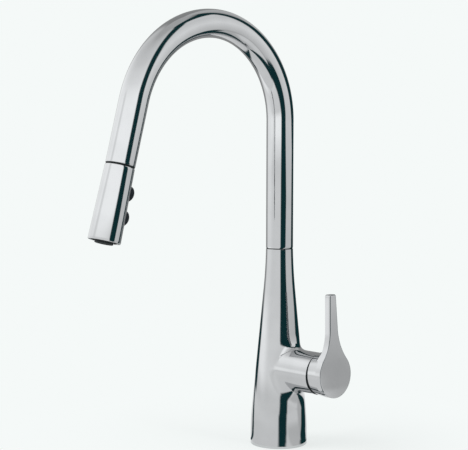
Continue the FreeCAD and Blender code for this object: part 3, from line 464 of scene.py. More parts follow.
def boss_line(way):
    """For one direction round the boss: the round's points, from the taper out to the boss."""
    reach = BOSS_RADIUS + BOSS_ROUND
    across, height = reach * math.cos(way), BOSS_HEIGHT + reach * math.sin(way)
    shell = WAIST_RADIUS + (WAIST - height) * math.tan(TAPER) + BOSS_ROUND / math.cos(TAPER)
    centre = Vector((math.sqrt(shell ** 2 - across ** 2), across, height))
    inwards = -Vector((centre.x / shell, centre.y / shell, math.tan(TAPER))).normalized()
    aside = Vector((0, -math.cos(way), -math.sin(way)))
    half = inwards.angle(aside) / 2
    leg, ease = BOSS_ROUND * math.tan(half), max(EASE, 0.4 * BOSS_ROUND * math.tan(half))
    ahead = (aside - aside.dot(inwards) * inwards).normalized()
    start = centre + BOSS_ROUND * inwards - ease * ahead
    start = on_casting(math.atan2(start.y, start.x), start.z)
    slope = (casting_radius(start.z - 0.01) - casting_radius(start.z + 0.01)) / 0.02
    upright = Vector((*start.xy.normalized(), slope)).normalized()
    ahead = (ahead - ahead.dot(upright) * upright).normalized()
    end = centre + BOSS_ROUND * aside + Vector((ease, 0, 0))
    pull = (leg + ease - BOSS_ROUND * (1 / math.cos(half) - 1) / math.sin(half)) / 25 * 16
    out = Vector((pull, 0, 0))
    knots = [start, start + pull * ahead, start + 2 * pull * ahead, end - 2 * out, end - out, end]
    return [sum((math.comb(5, at) * share ** at * (1 - share) ** (5 - at) * knot
                 for at, knot in enumerate(knots)), Vector((0, 0, 0)))
            for share in np.linspace(0, 1, ROUND_ROWS + 1).tolist()]


print("round from", [round(x, 2) for x in boss_line(0)[0]], "to", [round(x, 2) for x in boss_line(0)[-1]])

# %% [markdown]
# The casting is laid out in rows round the upright axis, with a window left open towards the valve.
# In the window the rows change their way: rings lead from its edge to the foot of the round, along
# the round, and out on the boss. So the mirror sees long, even faces everywhere.

# %% Casting rows
TURNS, FOOT_ROWS, NECK_ROWS = 240, 28, 56
WINDOW_TURNS, WINDOW_LOW, WINDOW_HIGH, WINDOW_ROWS = 52, 36.0, 114.0, 52
BORE, THROAT, SEAT, SEAT_TOP, TOP_EDGE = 11.2, 140.0, 23.5, 22.0, 0.2
GROOVE_IN, GROOVE_OUT, GROOVE_TOP = 24.45, 26.25, 2.0
window = np.linspace(WINDOW_LOW, WINDOW_HIGH, WINDOW_ROWS + 1)


def step_angle(at):
    """Angle of a step round the upright axis."""
    return 2 * math.pi * at / TURNS


def casting_outline():
    """The outline up the outside and down the inside, and the row where the window starts."""
    heights = np.concatenate([np.linspace(EDGE, WINDOW_LOW, FOOT_ROWS)[:-1], window,
                              np.linspace(WINDOW_HIGH, SEAM - TOP_EDGE, NECK_ROWS)[1:]])
    cavity, throat = HIP_RADIUS - 3.8, casting_radius(THROAT) - 3.2
    inside = [(TUBE_RADIUS - TOP_EDGE, SEAM), (BORE, SEAM), (BORE, THROAT), (throat, THROAT), (cavity, HIP),
              (cavity, SEAT_TOP), (SEAT, SEAT_TOP), (SEAT, 0.0), (GROOVE_IN, 0.0), (GROOVE_IN, GROOVE_TOP),
              (GROOVE_OUT, GROOVE_TOP), (GROOVE_OUT, 0.0), (BASE_RADIUS - EDGE, 0.0)]
    edge = rounded([(26.0, 0.0), (BASE_RADIUS, 0.0, EDGE), (BASE_RADIUS, 9.0)])[1:-1]
    outline = edge + [Vector((casting_radius(h), h)) for h in heights[1:]] + [Vector(spot) for spot in inside]
    return outline, len(edge) + FOOT_ROWS - 2


def shell_rows(bm, outline, first_row):
    """Turn the outline about the axis, but leave the window open."""
    angles = [step_angle(at) for at in range(TURNS)]
    rows = [[bm.verts.new((r * math.cos(a), r * math.sin(a), z)) for a in angles] for r, z in outline]
    for at, (low, high) in enumerate(zip(rows, rows[1:] + rows[:1])):
        for turn_at in range(-TURNS // 2, TURNS // 2):
            if first_row <= at < first_row + WINDOW_ROWS and -WINDOW_TURNS <= turn_at < WINDOW_TURNS:
                continue
            bm.faces.new((low[turn_at], low[turn_at + 1], high[turn_at + 1], high[turn_at]))
    return rows


print("casting outline", len(casting_outline()[0]), "points")

# %% Boss rings
PATCH_ROWS, BOSS_ROWS, BOSS_EDGE, BOSS_LIP = 12, 18, 0.25, 2.0


def window_loop():
    """Angle step and height row of the window's edge, once round."""
    low, high = -WINDOW_TURNS, WINDOW_TURNS
    loop = [(at, 0) for at in range(low, high)] + [(high, row) for row in range(WINDOW_ROWS)]
    loop += [(at, WINDOW_ROWS) for at in range(high, low, -1)]
    return loop + [(low, row) for row in range(WINDOW_ROWS, 0, -1)]


def boss_rings(loop):
    """Rings of points that lead from the window's edge to the end of the boss."""
    wide = casting_radius(BOSS_HEIGHT)
    lines = [boss_line(math.atan2(window[row] - BOSS_HEIGHT, wide * step_angle(at))) for at, row in loop]
    rings = []
    for step in range(1, PATCH_ROWS + 1):
        share, ring = step / PATCH_ROWS, []
        for (at, row), (foot_spot, *_) in zip(loop, lines):
            turn_here = step_angle(at) * (1 - share) + math.atan2(foot_spot.y, foot_spot.x) * share
            ring.append(on_casting(turn_here, window[row] * (1 - share) + foot_spot.z * share))
        rings.append(ring)
    rings += [[line[step] for line in lines] for step in range(1, ROUND_ROWS + 1)]
    ends = [line[-1] for line in lines]
    for step in range(1, BOSS_ROWS + 1):
        rings.append([spot.lerp(Vector((BOSS_END - BOSS_EDGE, spot.y, spot.z)), step / BOSS_ROWS) for spot in ends])
    for inset in (BOSS_EDGE, BOSS_LIP):
        shrink = (BOSS_RADIUS - inset) / BOSS_RADIUS
        rings.append([(BOSS_END, spot.y * shrink, BOSS_HEIGHT + (spot.z - BOSS_HEIGHT) * shrink) for spot in ends])
    return rings


def casting():
    """The casting with its boss, still without the holes."""
    bm = bmesh.new()
    outline, first_row = casting_outline()
    rows, loop = shell_rows(bm, outline, first_row), window_loop()
    rings = [[rows[first_row + row][at] for at, row in loop]]
    rings += [[bm.verts.new(spot) for spot in ring] for ring in boss_rings(loop)]
    for low, high in zip(rings, rings[1:]):
        for at in range(len(loop)):
            after = (at + 1) % len(loop)
            bm.faces.new((low[at], low[after], high[after], high[at]))
    bm.faces.new(rings[-1])
    bmesh.ops.recalc_face_normals(bm, faces=bm.faces)
    bmesh.ops.scale(bm, vec=(MM, MM, MM), verts=bm.verts)
    return bm


# %% Casting with its holes
def rod(radius, low, high, place, around=96):
    """A round bar along the Z axis of place."""
    return turned([(0, low), (radius, low), (radius, high), (0, high)], place, False, around)


body_skin = new_object("body_skin", casting())
back_way = Matrix.Translation((0, 0, 165)) @ Matrix.Rotation(-math.pi / 2, 4, "X")
risers = [rod(3.05, BOSS_HEIGHT - BOSS_RADIUS - BOSS_ROUND, BOSS_HEIGHT, Matrix.Translation((14, across, 0)), 32)
          for across in (9, 0, -9)]
cut_out(body_skin, rod(BOSS_BORE, 6, BOSS_END + 1, VALVE), rod(2.05, 0, 26, back_way, 48), *risers)
finished(body_skin, "chrome", "body", "body_shell")

# %% [markdown]
# ## Handle
# The handle is a short hub that ends in a flat drop: a round face that runs up into a lever. All of
# its rows go round the hub's axis, one column for each point of the drop's outline. A column climbs
# the hub's cone, runs out along the hollow behind the lever, and turns over the edge onto the face.

# %% Handle outline
FACE_RADIUS, FACE, BACK, EDGE_ROUND, LEVER_EDGE = 21.6, 73.5, 67.2, 0.8, 1.6
LEVER_LENGTH, LEVER_ROOT_HALF, LEVER_TOP_HALF, LEVER_SWEEP = 75.1, 5.85, 4.5, 46.0
TIP_ROUND = 1.8


def arc(centre, radius, first, last, parts):
    """Points on an arc in the drop's plane."""
    return [centre + radius * Vector((math.cos(a), math.sin(a))) for a in np.linspace(first, last, parts + 1)]


def drop_outline():
    """Points (up, across) round the drop, from one root of the lever to the other and over its tip."""
    reach, off = FACE_RADIUS + LEVER_SWEEP, LEVER_ROOT_HALF + LEVER_SWEEP
    root_up = math.sqrt(reach ** 2 - off ** 2)
    join = math.atan2(off, root_up)
    round_end = arc(Vector((0, 0)), FACE_RADIUS, join, 2 * math.pi - join, 150)
    left = arc(Vector((root_up, -off)), LEVER_SWEEP, math.pi - join, math.pi / 2, 28)
    tip = rounded([(root_up, -LEVER_ROOT_HALF), (LEVER_LENGTH, -LEVER_TOP_HALF, TIP_ROUND),
                   (LEVER_LENGTH, LEVER_TOP_HALF, TIP_ROUND), (root_up, LEVER_ROOT_HALF)])
    over = spaced(tip, 1.6, False)
    right = [Vector((spot.x, -spot.y)) for spot in reversed(left)]
    return round_end + left[1:] + over[1:] + right[1:-1], len(round_end)


DROP, ROUND_COUNT = drop_outline()


def drop_inset(inset):
    """The drop's outline moved inwards, by one size or by one for each point."""
    insets = inset if isinstance(inset, list) else [inset] * len(DROP)
    result = []
    for at, spot in enumerate(DROP):
        along = DROP[(at + 1) % len(DROP)] - DROP[at - 1]
        result.append(spot + Vector((-along.y, along.x)).normalized() * insets[at])
    return result


print("drop outline", len(DROP), "points")

# %% Handle's hollow
RIM, RIM_RADIUS, RIM_WALL = 56.2, 20.0, 0.8
RECESS = math.hypot(RIM_RADIUS - RIM_WALL, RIM - PIVOT)
HOLLOW = 5.0
HOLLOW_FOOT = BACK - HOLLOW
BACK_ROUND = 0.35
CONE = (FACE_RADIUS - RIM_RADIUS) / (BACK - RIM)
HOLLOW_RADIUS = RIM_RADIUS + CONE * (HOLLOW_FOOT - RIM)
STEM_HOLE, STEM_HOLE_END = 4.05, 70.05
HOLLOW_STEPS, FLAT_STEPS = 14, 22


def hollow_spot(run):
    """Radius and height after a run along the hollow and on along the lever's flat back."""
    quarter = HOLLOW * math.pi / 2
    if run >= quarter:
        return HOLLOW_RADIUS + HOLLOW + run - quarter, BACK
    turn_on = run / HOLLOW
    return HOLLOW_RADIUS + HOLLOW * (1 - math.cos(turn_on)), HOLLOW_FOOT + HOLLOW * math.sin(turn_on)


def hollow_run(radius):
    """The run that reaches a radius."""
    over = radius - HOLLOW_RADIUS
    if over >= HOLLOW:
        return HOLLOW * math.pi / 2 + over - HOLLOW
    return HOLLOW * math.acos(1 - over / HOLLOW)


print("hollow foot", round(HOLLOW_RADIUS, 2), round(HOLLOW_FOOT, 2))

# %% [markdown]
# The rows start at the stem's hole, cross the domed recess, turn round the rim, climb the cone and go
# out along the back. Then they turn over the back's edge, up the side and round onto the flat face.

# %% Handle
def hub_rows(ways):
    """Rows from the stem's hole to the foot of the hollow."""
    inner = RIM_RADIUS - RIM_WALL
    recess_top = math.sqrt(RECESS ** 2 - STEM_HOLE ** 2) + PIVOT
    spots = [(STEM_HOLE, height) for height in (STEM_HOLE_END, 67.0, recess_top)]
    spots += [(r, PIVOT + math.sqrt(RECESS ** 2 - r ** 2)) for r in np.linspace(STEM_HOLE, inner, 12)[1:]]
    spots += rounded([(inner, RIM), (RIM_RADIUS, RIM, 0.3), (HOLLOW_RADIUS, HOLLOW_FOOT)])[1:-1]
    spots += [(RIM_RADIUS + CONE * (height - RIM), height) for height in np.linspace(RIM + 0.6, HOLLOW_FOOT, 14)]
    return [[(0, 0, STEM_HOLE_END)]] + [[(r * math.cos(way), r * math.sin(way), height) for way in ways]
                                        for r, height in spots]


def back_column(at, spot, way):
    """Points from the foot of the hollow out to one point of the back's edge."""
    total = hollow_run(spot.length)
    bend = min(HOLLOW * math.pi / 2, 0.7 * total)
    runs = [bend * step / HOLLOW_STEPS for step in range(1, HOLLOW_STEPS + 1)]
    runs += [bend + (total - bend) * step / FLAT_STEPS for step in range(1, FLAT_STEPS + 1)]
    if at < ROUND_COUNT:
        heights = [HOLLOW_FOOT + (BACK - HOLLOW_FOOT) * run / total for run in runs]
        spots = [(RIM_RADIUS + CONE * (height - RIM), height) for height in heights]
    else:
        spots = [hollow_spot(run) for run in runs]
    return [(radius * math.cos(way), radius * math.sin(way), height) for radius, height in spots]


def edge_rows(insets, backs):
    """Rows over the back's edge, up the side and round onto the face."""
    rows = []
    for step in range(1, 5):
        quarter = math.pi / 2 * step / 4
        here = drop_inset([size * (1 - math.sin(quarter)) for size in insets])
        rows.append([(spot.x, spot.y, back + size * (1 - math.cos(quarter)))
                     for spot, back, size in zip(here, backs, insets)])
    lows = [spot[2] for spot in rows[-1]]
    edges = [EDGE_ROUND + (LEVER_EDGE - EDGE_ROUND) * min(1, max(0, (spot.x - FACE_RADIUS) / 20)) for spot in DROP]
    for share in np.linspace(0, 1, 8)[1:]:
        rows.append([(spot.x, spot.y, low + (FACE - edge - low) * share)
                     for spot, low, edge in zip(DROP, lows, edges)])
    for step in range(1, 10):
        quarter = math.pi / 2 * step / 9
        here = drop_inset([edge * (1 - math.cos(quarter)) for edge in edges])
        rows.append([(spot.x, spot.y, FACE - edge * (1 - math.sin(quarter))) for spot, edge in zip(here, edges)])
    return rows


def handle_rows():
    """All rows of the handle, in its place."""
    insets = [BACK_ROUND * min(1, max(0, (spot.length - FACE_RADIUS) / 2)) for spot in DROP]
    ends = drop_inset(insets)
    ways = [math.atan2(spot.y, spot.x) for spot in ends]
    columns = [back_column(at, spot, way) for at, (spot, way) in enumerate(zip(ends, ways))]
    rows = hub_rows(ways) + list(zip(*columns)) + edge_rows(insets, [column[-1][2] for column in columns])
    return [[HANDLE @ Vector((-up, across, height)) * MM for up, across, height in row] for row in rows]


handle_skin = new_object("handle_skin", skin(handle_rows(), cap_last=True))
CAP_PLACE, CAP_RADIUS, CAP_HEIGHT, CAP_SINK = 66.9, 2.6, 2.3, 0.45
CAP_TOP = RIM_RADIUS + CONE * (CAP_PLACE - RIM) - CAP_SINK
CAP_LOW = CAP_TOP - CAP_HEIGHT
plug_way = HANDLE @ Matrix.Translation((0, 0, CAP_PLACE)) @ Matrix.Rotation(math.pi / 2, 4, "Y")
cut_out(handle_skin, rod(CAP_RADIUS + 0.05, CAP_LOW, 27, plug_way, 64))
finished(handle_skin, "chrome", "handle", "handle_lever")

# %% [markdown]
# ## Dark rings and turned pieces
# A thin black ring parts the spout from the body, another parts the head from the spout, and a black
# dome closes the gap under the handle; its black is painted shade, standing in for the chrome dome in
# the gap's shadow. They and the small turned pieces come from outlines alone.

# %% Turned pieces
def arc_to(start, end, radius, parts=16):
    """Points on the arc of that radius from start to end, bulging to the left of the way."""
    start, end = Vector(start), Vector(end)
    span = end - start
    centre = start + span / 2 + Vector((-span.y, span.x)).normalized() * math.sqrt(
        radius ** 2 - (span.length / 2) ** 2)
    return [centre + swing(start - centre, end - centre, part / parts) for part in range(parts + 1)]


DOME, DOME_WALL, DOME_MOUTH = math.hypot(BOSS_RADIUS, BOSS_END - PIVOT), 1.8, 12.6
mouth_tops = [PIVOT + math.sqrt((DOME - wall) ** 2 - DOME_MOUTH ** 2) for wall in (0, DOME_WALL)]
dome = arc_to((BOSS_RADIUS, BOSS_END), (DOME_MOUTH, mouth_tops[0]), DOME) + [Vector(spot) for spot in (
    (DOME_MOUTH, mouth_tops[1]), (13.95, BOSS_END), (13.95, BOSS_END - 1.4), (15.35, BOSS_END - 1.4),
    (15.35, BOSS_END))]
crimp = [(7.2, -34.4), (7.05, -34.0), (7.05, -33.0), (7.2, -32.6), (7.2, -30.0), (7.05, -29.6), (7.05, -28.6),
         (7.2, -28.2), (7.2, -25.6), (7.05, -25.2), (7.05, -24.2), (7.2, -23.8)]
TURNED = [
    ("seam_ring", UPRIGHT, [(10.2, 180), (11.15, 180), (11.15, 190), (12.5, 190), (12.5, 190.8, 0.1),
                            (10.2, 190.8)], "black_trim", "body", "seam_bush"),
    ("outlet_ring", OUTLET, [(10.6, -24), (11.75, -24), (11.75, 0), (12.6, 0), (12.6, 1.1, 0.15),
                             (10.6, 1.1, 0.3)], "black_trim", "spout", "dock_insert"),
    # The dome's black finish is painted shade for the gap under the handle.
    ("valve_dome", VALVE, dome, "black_trim", "body", "dome_ring"),
    ("deck_gasket", UPRIGHT, [(24.5, 0, 0.3), (26.2, 0, 0.3), (26.2, 2, 0.3), (24.5, 2, 0.3)],
     "rubber_black", "body", "base_gasket"),
    ("clamp_ring", UPRIGHT, [(17.6, 1, 0.5), (23.45, 1, 0.5), (23.45, 8, 0.3), (17.6, 8, 0.3)],
     "brass", "body", "base_lock_ring"),
    ("hose_bush", UPRIGHT, [(6.3, 6, 0.5), (7.5, 6, 0.4), (7.5, 22), (9.2, 22, 0.3), (9.2, 24, 0.4),
                            (6.3, 24, 0.5)], "bearing_plastic", "body", "hose_guide"),
    ("hose_collar", OUTLET, [(6.05, -36, 0.2), (7.2, -36, 0.3)] + crimp + [(7.2, -22, 0.3), (6.05, -22)],
     "steel", "hose_end", "hose_ferrule"),
    ("swivel_nut", OUTLET, [(3.8, -22), (7.9, -22, 0.5), (7.9, -5, 0.4), (3.8, -5)],
     "brass", "hose_end", "hose_nut"),
    ("head_spigot", OUTLET, [(8, -20, 0.4), (10.3, -20, 0.6), (10.3, 3.2), (11.2, 3.2), (11.2, 5.2),
                             (10, 5.2), (10, 11.1), (5.5, 11.1), (5.5, -4), (8, -4)],
     "white_plastic", "spray_head", "spray_inlet"),
    ("spray_plate", OUTLET, [(5.45, 59.2), (12.35, 59.2), (12.35, 66.4, 0.4), (8.2, 66.4, 0.4),
                             (8.2, 69.2, 0.8), (5.45, 69.2, 0.3)], "spray_plate", "spray_head", "spray_face"),
]
for name, place, corners, slot, body, node in TURNED:
    finished(new_object(name, turned(rounded(corners), place)), slot, body, node)

# %% [markdown]
# ## Spray head
# The head is a sleeve that widens slightly towards its end. Two domed buttons look out of its side.

# %% Spray sleeve and buttons
UPPER_BUTTON, LOWER_BUTTON = 22.0, 43.5
BUTTON_RADIUS, BUTTON_GAP = 6.7, 0.3
sleeve = rounded([(10.35, 1.4), (13.0, 1.4, 0.8), (14.3, 67.2, 0.8), (12.7, 67.2, 0.3), (11.4, 3.2), (10.35, 3.2)])
spray_sleeve = new_object("spray_sleeve", turned(spaced(sleeve, 1.5, True), OUTLET, around=160))


def button_way(height):
    """Place whose Z axis looks out of the head's side at a height."""
    return OUTLET @ Matrix.Translation((0, 0, height)) @ Matrix.Rotation(math.pi / 2, 4, "X")


cut_out(spray_sleeve, *[rod(BUTTON_RADIUS + BUTTON_GAP, 0, 20, button_way(height), 96)
                        for height in (UPPER_BUTTON, LOWER_BUTTON)])
finished(spray_sleeve, "chrome", "spray_head", "spray_shell")

BUTTON_WALL, BUTTON_CROWN, BUTTON_LIP = 16.0, 3.1, 1.0
crown_radius = (BUTTON_RADIUS ** 2 + BUTTON_CROWN ** 2) / 2 / BUTTON_CROWN
wall_top, flange = (BUTTON_RADIUS, BUTTON_WALL), BUTTON_RADIUS + BUTTON_LIP
crown_line = arc_to(wall_top, (0, BUTTON_WALL + BUTTON_CROWN), crown_radius, 14)
button = [Vector(spot) for spot in ((0, 6.5), (flange, 6.5), (flange, 8.5), (BUTTON_RADIUS, 8.5))]
button += rounded([(BUTTON_RADIUS, 8.5), (*wall_top, 0.5), tuple(crown_line[2])])[1:-1] + crown_line[2:]
for name, height in (("upper_button", UPPER_BUTTON), ("lower_button", LOWER_BUTTON)):
    finished(new_object(name + "_cap", turned(button, button_way(height), False)), "button_black", name, name)

# %% [markdown]
# ## Aerator and nozzles
# Water leaves through a dished aerator in the middle and a ring of rubber nozzles round it. The
# nozzles are one small shape set on a circle, which Geometry Nodes repeat.

# %% Aerator and nozzles
aerator = [Vector(spot) for spot in ((0, 59.2), (5.4, 59.2))]
aerator += rounded([(5.4, 59.2), (5.4, 68.6, 0.2), (4.0, 68.6, 0.3), (0, 67.2)])[1:-1] + [Vector((0, 67.2))]
finished(new_object("aerator_insert", turned(aerator, OUTLET, False)), "spray_plate", "spray_head", "aerator")


NOZZLE_TREE, (sizes, circle, copies, real, paint, result) = new_tree(
    "ring_of_nozzles", [("Shape", "Geometry"), ("Count", "Int"), ("Circle", "Float"), ("Finish", "Material")],
    "Nozzles", ["MeshCircle", "InstanceOnPoints", "RealizeInstances", "SetMaterial"])
wire(NOZZLE_TREE, (sizes, "Count", circle, "Vertices"), (sizes, "Circle", circle, "Radius"),
     (circle, "Mesh", copies, "Points"), (sizes, "Shape", copies, "Instance"),
     (copies, "Instances", real, "Geometry"), (real, "Geometry", paint, "Geometry"),
     (sizes, "Finish", paint, "Material"), (paint, "Geometry", result, "Nozzles"))

nozzle = rounded([(0.3, 0.5), (0.3, 1.2, 0.05), (0.55, 1.2, 0.15), (0.75, 0.0)])
outline = [Vector((0, 0)), Vector((0.75, 0)), *reversed(nozzle[1:-1]), Vector((0.3, 0.5)), Vector((0, 0.5))]
nozzles = new_object("nozzle_ring", turned(outline, UPRIGHT, False, 20))
row = nozzles.modifiers.new("ring", "NODES")
row.node_group = NOZZLE_TREE
set_inputs(row, {"Count": 14, "Circle": 10.275 * MM, "Finish": FINISHES["rubber_black"]})
plain(nozzles)
to_face = OUTLET @ Matrix.Translation((0, 0, 66.4))
nozzles.data.transform(Matrix.Translation(to_face.translation * MM) @ to_face.to_3x3().to_4x4())
finished(nozzles, "rubber_black", "spray_head", "nozzles")

# %% [markdown]
# ## Small fixings
# A plug hides the handle's set screw, and a screw in the back of the neck stops the spout's swing.

# %% Fixings
plug = rounded([(0, CAP_LOW), (CAP_RADIUS, CAP_LOW), (CAP_RADIUS, CAP_TOP, 0.3), (0, CAP_TOP)])
finished(new_object("set_screw_plug", turned(plug, plug_way, False, 64)), "black_trim", "handle", "set_screw_cap")
screw = [(0, 9.5), (1.4, 9.5), (1.4, 11.3), (2.0, 11.3), (2.0, 12.7), (1.7, 13.0), (0, 13.0)]
stop_screw = new_object("stop_screw", turned(screw, back_way, False, 64))
cut_out(stop_screw, rod(1.15, 11.8, 14, back_way, 6))
finished(stop_screw, "steel", "body", "swivel_stop_screw")

# %% [markdown]
# ## Hose
# The hose runs up the column and down to the head, along the spout's bends. In the faucet its last
# straight run draws out with the head, so it is two pieces: one that rides on the spout, and the last
# run, which is given no body here.

# %% Hose
HOSE_RADIUS, HOSE_WALL, HOSE_FOOT, HOSE_SHORT = 6.0, 2.2, 2.0, 22.0
hose_end = outlet - HOSE_SHORT * outlet_way
low_hose = tube("hose_in_arch", [straight(Vector((0, 0, HOSE_FOOT)))] + bends, HOSE_RADIUS, HOSE_WALL, 3.0, 40)
finished(low_hose, "hose_grey", "spout", "hose")
run_hose = tube("hose_run", [straight(fall_end), straight(hose_end)], HOSE_RADIUS, HOSE_WALL, 0.5, 40)
coated(run_hose, "hose_grey")
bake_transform(run_hose)
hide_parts("hose")

# %% [markdown]
# ## Inner pieces
# The valve, its seals and the waterways keep their CAD meshes, with the finish that each is made in.

# %% Finishes of the CAD nodes
for part in frame["record"]["subparts"]:
    node = frame["nodes"][part["node"]]
    if not node.hide_render:
        node.data.materials.clear()
        node.data.materials.append(FINISHES[part["material_slot"]])
print("CAD nodes kept", sum(not node.hide_render for node in frame["nodes"].values()))

# %% [markdown]
# ## Studio
# Chrome has hardly a colour of its own: it shows the room. The room is white, and its light is a
# little weaker for matt surfaces than for the eye, so that the floor keeps a soft shadow.

# %% Room
WHITE = (0.913, 0.947, 0.939)


def backdrop_share(tree):
    """1 for rays that look at the background, straight, in a mirror or through glass."""
    path = tree.nodes.new("ShaderNodeLightPath")
    total = path.outputs["Is Camera Ray"]
    for label in ("Is Glossy Ray", "Is Transmission Ray"):
        highest = tree.nodes.new("ShaderNodeMath")
        highest.operation = "MAXIMUM"
        tree.links.new(total, highest.inputs[0])
        tree.links.new(path.outputs[label], highest.inputs[1])
        total = highest.outputs[0]
    return total


world = bpy.data.worlds.new("white_room")
bpy.context.scene.world = world
world.use_nodes = True
tree, nodes = world.node_tree, world.node_tree.nodes
room, seen = nodes["Background"], nodes.new("ShaderNodeBackground")
for light, strength in ((room, 0.6), (seen, 1.0)):
    light.inputs["Color"].default_value = (*WHITE, 1)
    light.inputs["Strength"].default_value = strength
mix = nodes.new("ShaderNodeMixShader")
tree.links.new(backdrop_share(tree), mix.inputs["Fac"])
wire(tree, (room, 0, mix, 1), (seen, 0, mix, 2), (mix, 0, nodes["World Output"], "Surface"))
print("room light", room.inputs["Strength"].default_value)

# %% [markdown]
# The floor is matt paint near the faucet, where the shadow falls. Further out it glows in the
# colour of the room, so no horizon is seen.

# %% Floor
def stage_plane(name, corners, material):
    """A plane that belongs to the studio."""
    mesh = bpy.data.meshes.new(name)
    mesh.from_pydata(corners, [], [(0, 1, 2, 3)])
    mesh.materials.append(material)
    plane = placed(name, mesh)
    return plane


def floor_finish():
    """Pale floor that keeps a soft shadow near the object and fades into the background."""
    material = bpy.data.materials.new("pale_floor")
    material.use_nodes = True
    tree, nodes = material.node_tree, material.node_tree.nodes
    paint = nodes["Principled BSDF"]
    paint.inputs["Base Color"].default_value = (0.9, 0.92, 0.915, 1)
    paint.inputs["Roughness"].default_value = 0.8
    glow = nodes.new("ShaderNodeEmission")
    glow.inputs["Color"].default_value = (*WHITE, 1)
    place = nodes.new("ShaderNodeTexCoord")
    far = nodes.new("ShaderNodeVectorMath")
    far.operation = "LENGTH"
    fade = nodes.new("ShaderNodeMapRange")
    fade.interpolation_type = "SMOOTHSTEP"
    fade.inputs["From Min"].default_value, fade.inputs["From Max"].default_value = 0.03, 0.25
    fade.inputs["To Min"].default_value, fade.inputs["To Max"].default_value = 0.75, 1.0
    share = nodes.new("ShaderNodeMath")
    share.operation = "MULTIPLY"
    tree.links.new(backdrop_share(tree), share.inputs[1])
    mix = nodes.new("ShaderNodeMixShader")
    wire(tree, (place, "Object", far, 0), (far, "Value", fade, "Value"), (fade, "Result", share, 0),
         (share, 0, mix, "Fac"), (paint, 0, mix, 1), (glow, 0, mix, 2),
         (mix, 0, nodes["Material Output"], "Surface"))
    return material


HALF_FLOOR = 4.0
corners = [(x * HALF_FLOOR, y * HALF_FLOOR, 0) for x, y in ((-1, -1), (1, -1), (1, 1), (-1, 1))]
floor = stage_plane("floor", corners, floor_finish())
print("floor", round(floor.dimensions.x, 2), "m wide")

# %% [markdown]
# ## Painted reflections for the mirror
# Photographers stand a chrome object in a roll of paper, pale in front and with dark flags at the
# side. Here a tall glowing drum with a floor stands for both: the long dark lines down the column and
# round the arch are painted reflections of dark bands painted on its glow. Only mirrors see it, and
# its light is painted point by point, by bearing (degrees to the right of the camera's side) and
# height. Curves say where a dark band's edge runs.

# %% Light of the wall
def smooth(low, high, value):
    """0 below low, 1 above high, with a soft step between."""
    share = np.clip((value - low) / (high - low), 0, 1)
    return share * share * (3 - 2 * share)


def between(low, high, soft, value):
    """1 from low to high, with soft ends."""
    return smooth(-soft, soft, value - low) * (1 - smooth(-soft, soft, value - high))


def painted_dark_bands(bearing, height):
    """Painted dark share of the wall and the painted lit opening in its dark band."""
    dark_band_left = np.interp(height, [0, 0.05, 0.12, 0.15, 0.24, 0.27, 0.3, 0.36, 0.42, 0.5, 0.6, 0.7, 1.0, 1.2],
                          [1, 5, 5, 7, 9, 10, 11, 10, 10.5, 16, 17.5, 21, 32, 43])
    dark_band_right = np.interp(height, [0, 0.3, 0.4, 0.5, 0.6, 0.7, 0.8], [158, 156, 152, 146, 142, 134, 129])
    open_left = np.interp(height, [0, 0.03, 0.05, 0.09, 0.12, 0.16, 0.22, 0.27, 0.32, 0.4, 0.5, 0.6, 0.7, 0.9],
                          [34, 35, 41, 47, 47, 52, 56, 51, 47, 47.5, 45, 42, 46, 60])
    open_right = np.interp(height, [0, 0.06, 0.12, 0.28, 0.33, 0.4, 0.6], [98, 98, 112, 118, 105, 101, 106])
    opening = between(open_left, open_right, 3, bearing) * (1 - smooth(0.93, 1.0, height))
    dark = between(dark_band_left, dark_band_right, 4, bearing) * (1 - opening) * (1 - smooth(1.35, 1.5, height))
    back = between(-156, -122, 4, bearing) * (1 - smooth(0.08, 0.14, height))
    return np.maximum(dark, back), opening


def wall_light(bearing, height):
    """Pale and dark share of the wall."""
    dark, opening = painted_dark_bands(bearing, height)
    front = np.interp(height, [0, 0.04, 0.065, 0.09, 0.15, 0.26, 0.3, 0.42, 0.5, 0.65, 1.0, 1.5],
                      [0.52, 0.5, 0.61, 0.58, 0.56, 0.55, 0.8, 0.8, 0.66, 0.54, 0.45, 0.36])
    side = np.interp(height, [0, 0.02, 0.03, 0.05, 0.1, 0.15, 0.24, 0.3, 0.45, 0.65, 1.0, 1.5],
                     [0.52, 0.5, 0.56, 0.72, 0.76, 0.62, 0.66, 0.71, 0.75, 0.54, 0.45, 0.36])
    front = side + (front - side) * smooth(-92, -52, bearing)
    front = front * (1 - 0.22 * between(-63, -53, 4, bearing) * between(0.27, 0.45, 0.03, height))
    window = np.interp(height, [0, 0.06, 0.09, 0.13, 0.25, 0.45, 0.7], [0.32, 0.34, 0.4, 0.44, 0.49, 0.61, 0.52])
    window = window + 0.18 * (1 - smooth(70, 84, bearing)) * (1 - smooth(0.02, 0.06, height))
    back = 0.2 + 0.15 * smooth(120, 150, bearing) * smooth(0.35, 0.6, height)
    pale = back + (front - back) * smooth(-140, -112, bearing) * (1 - smooth(60, 120, bearing))
    return pale + (window - pale) * opening, dark


print("flag at 0.3 m dark from", [b for b in range(0, 60, 2) if painted_dark_bands(b, 0.3)[0] > 0.5][0], "degrees")

# %% [markdown]
# The drum's floor has its own painted dark: one strip in front that carries the column's line on
# down the base, one to the right and a thin one to the left, which edge the base. Near the axis its
# pale is painted darker, most of all under the boss: a painted shadow that the chrome reflects.

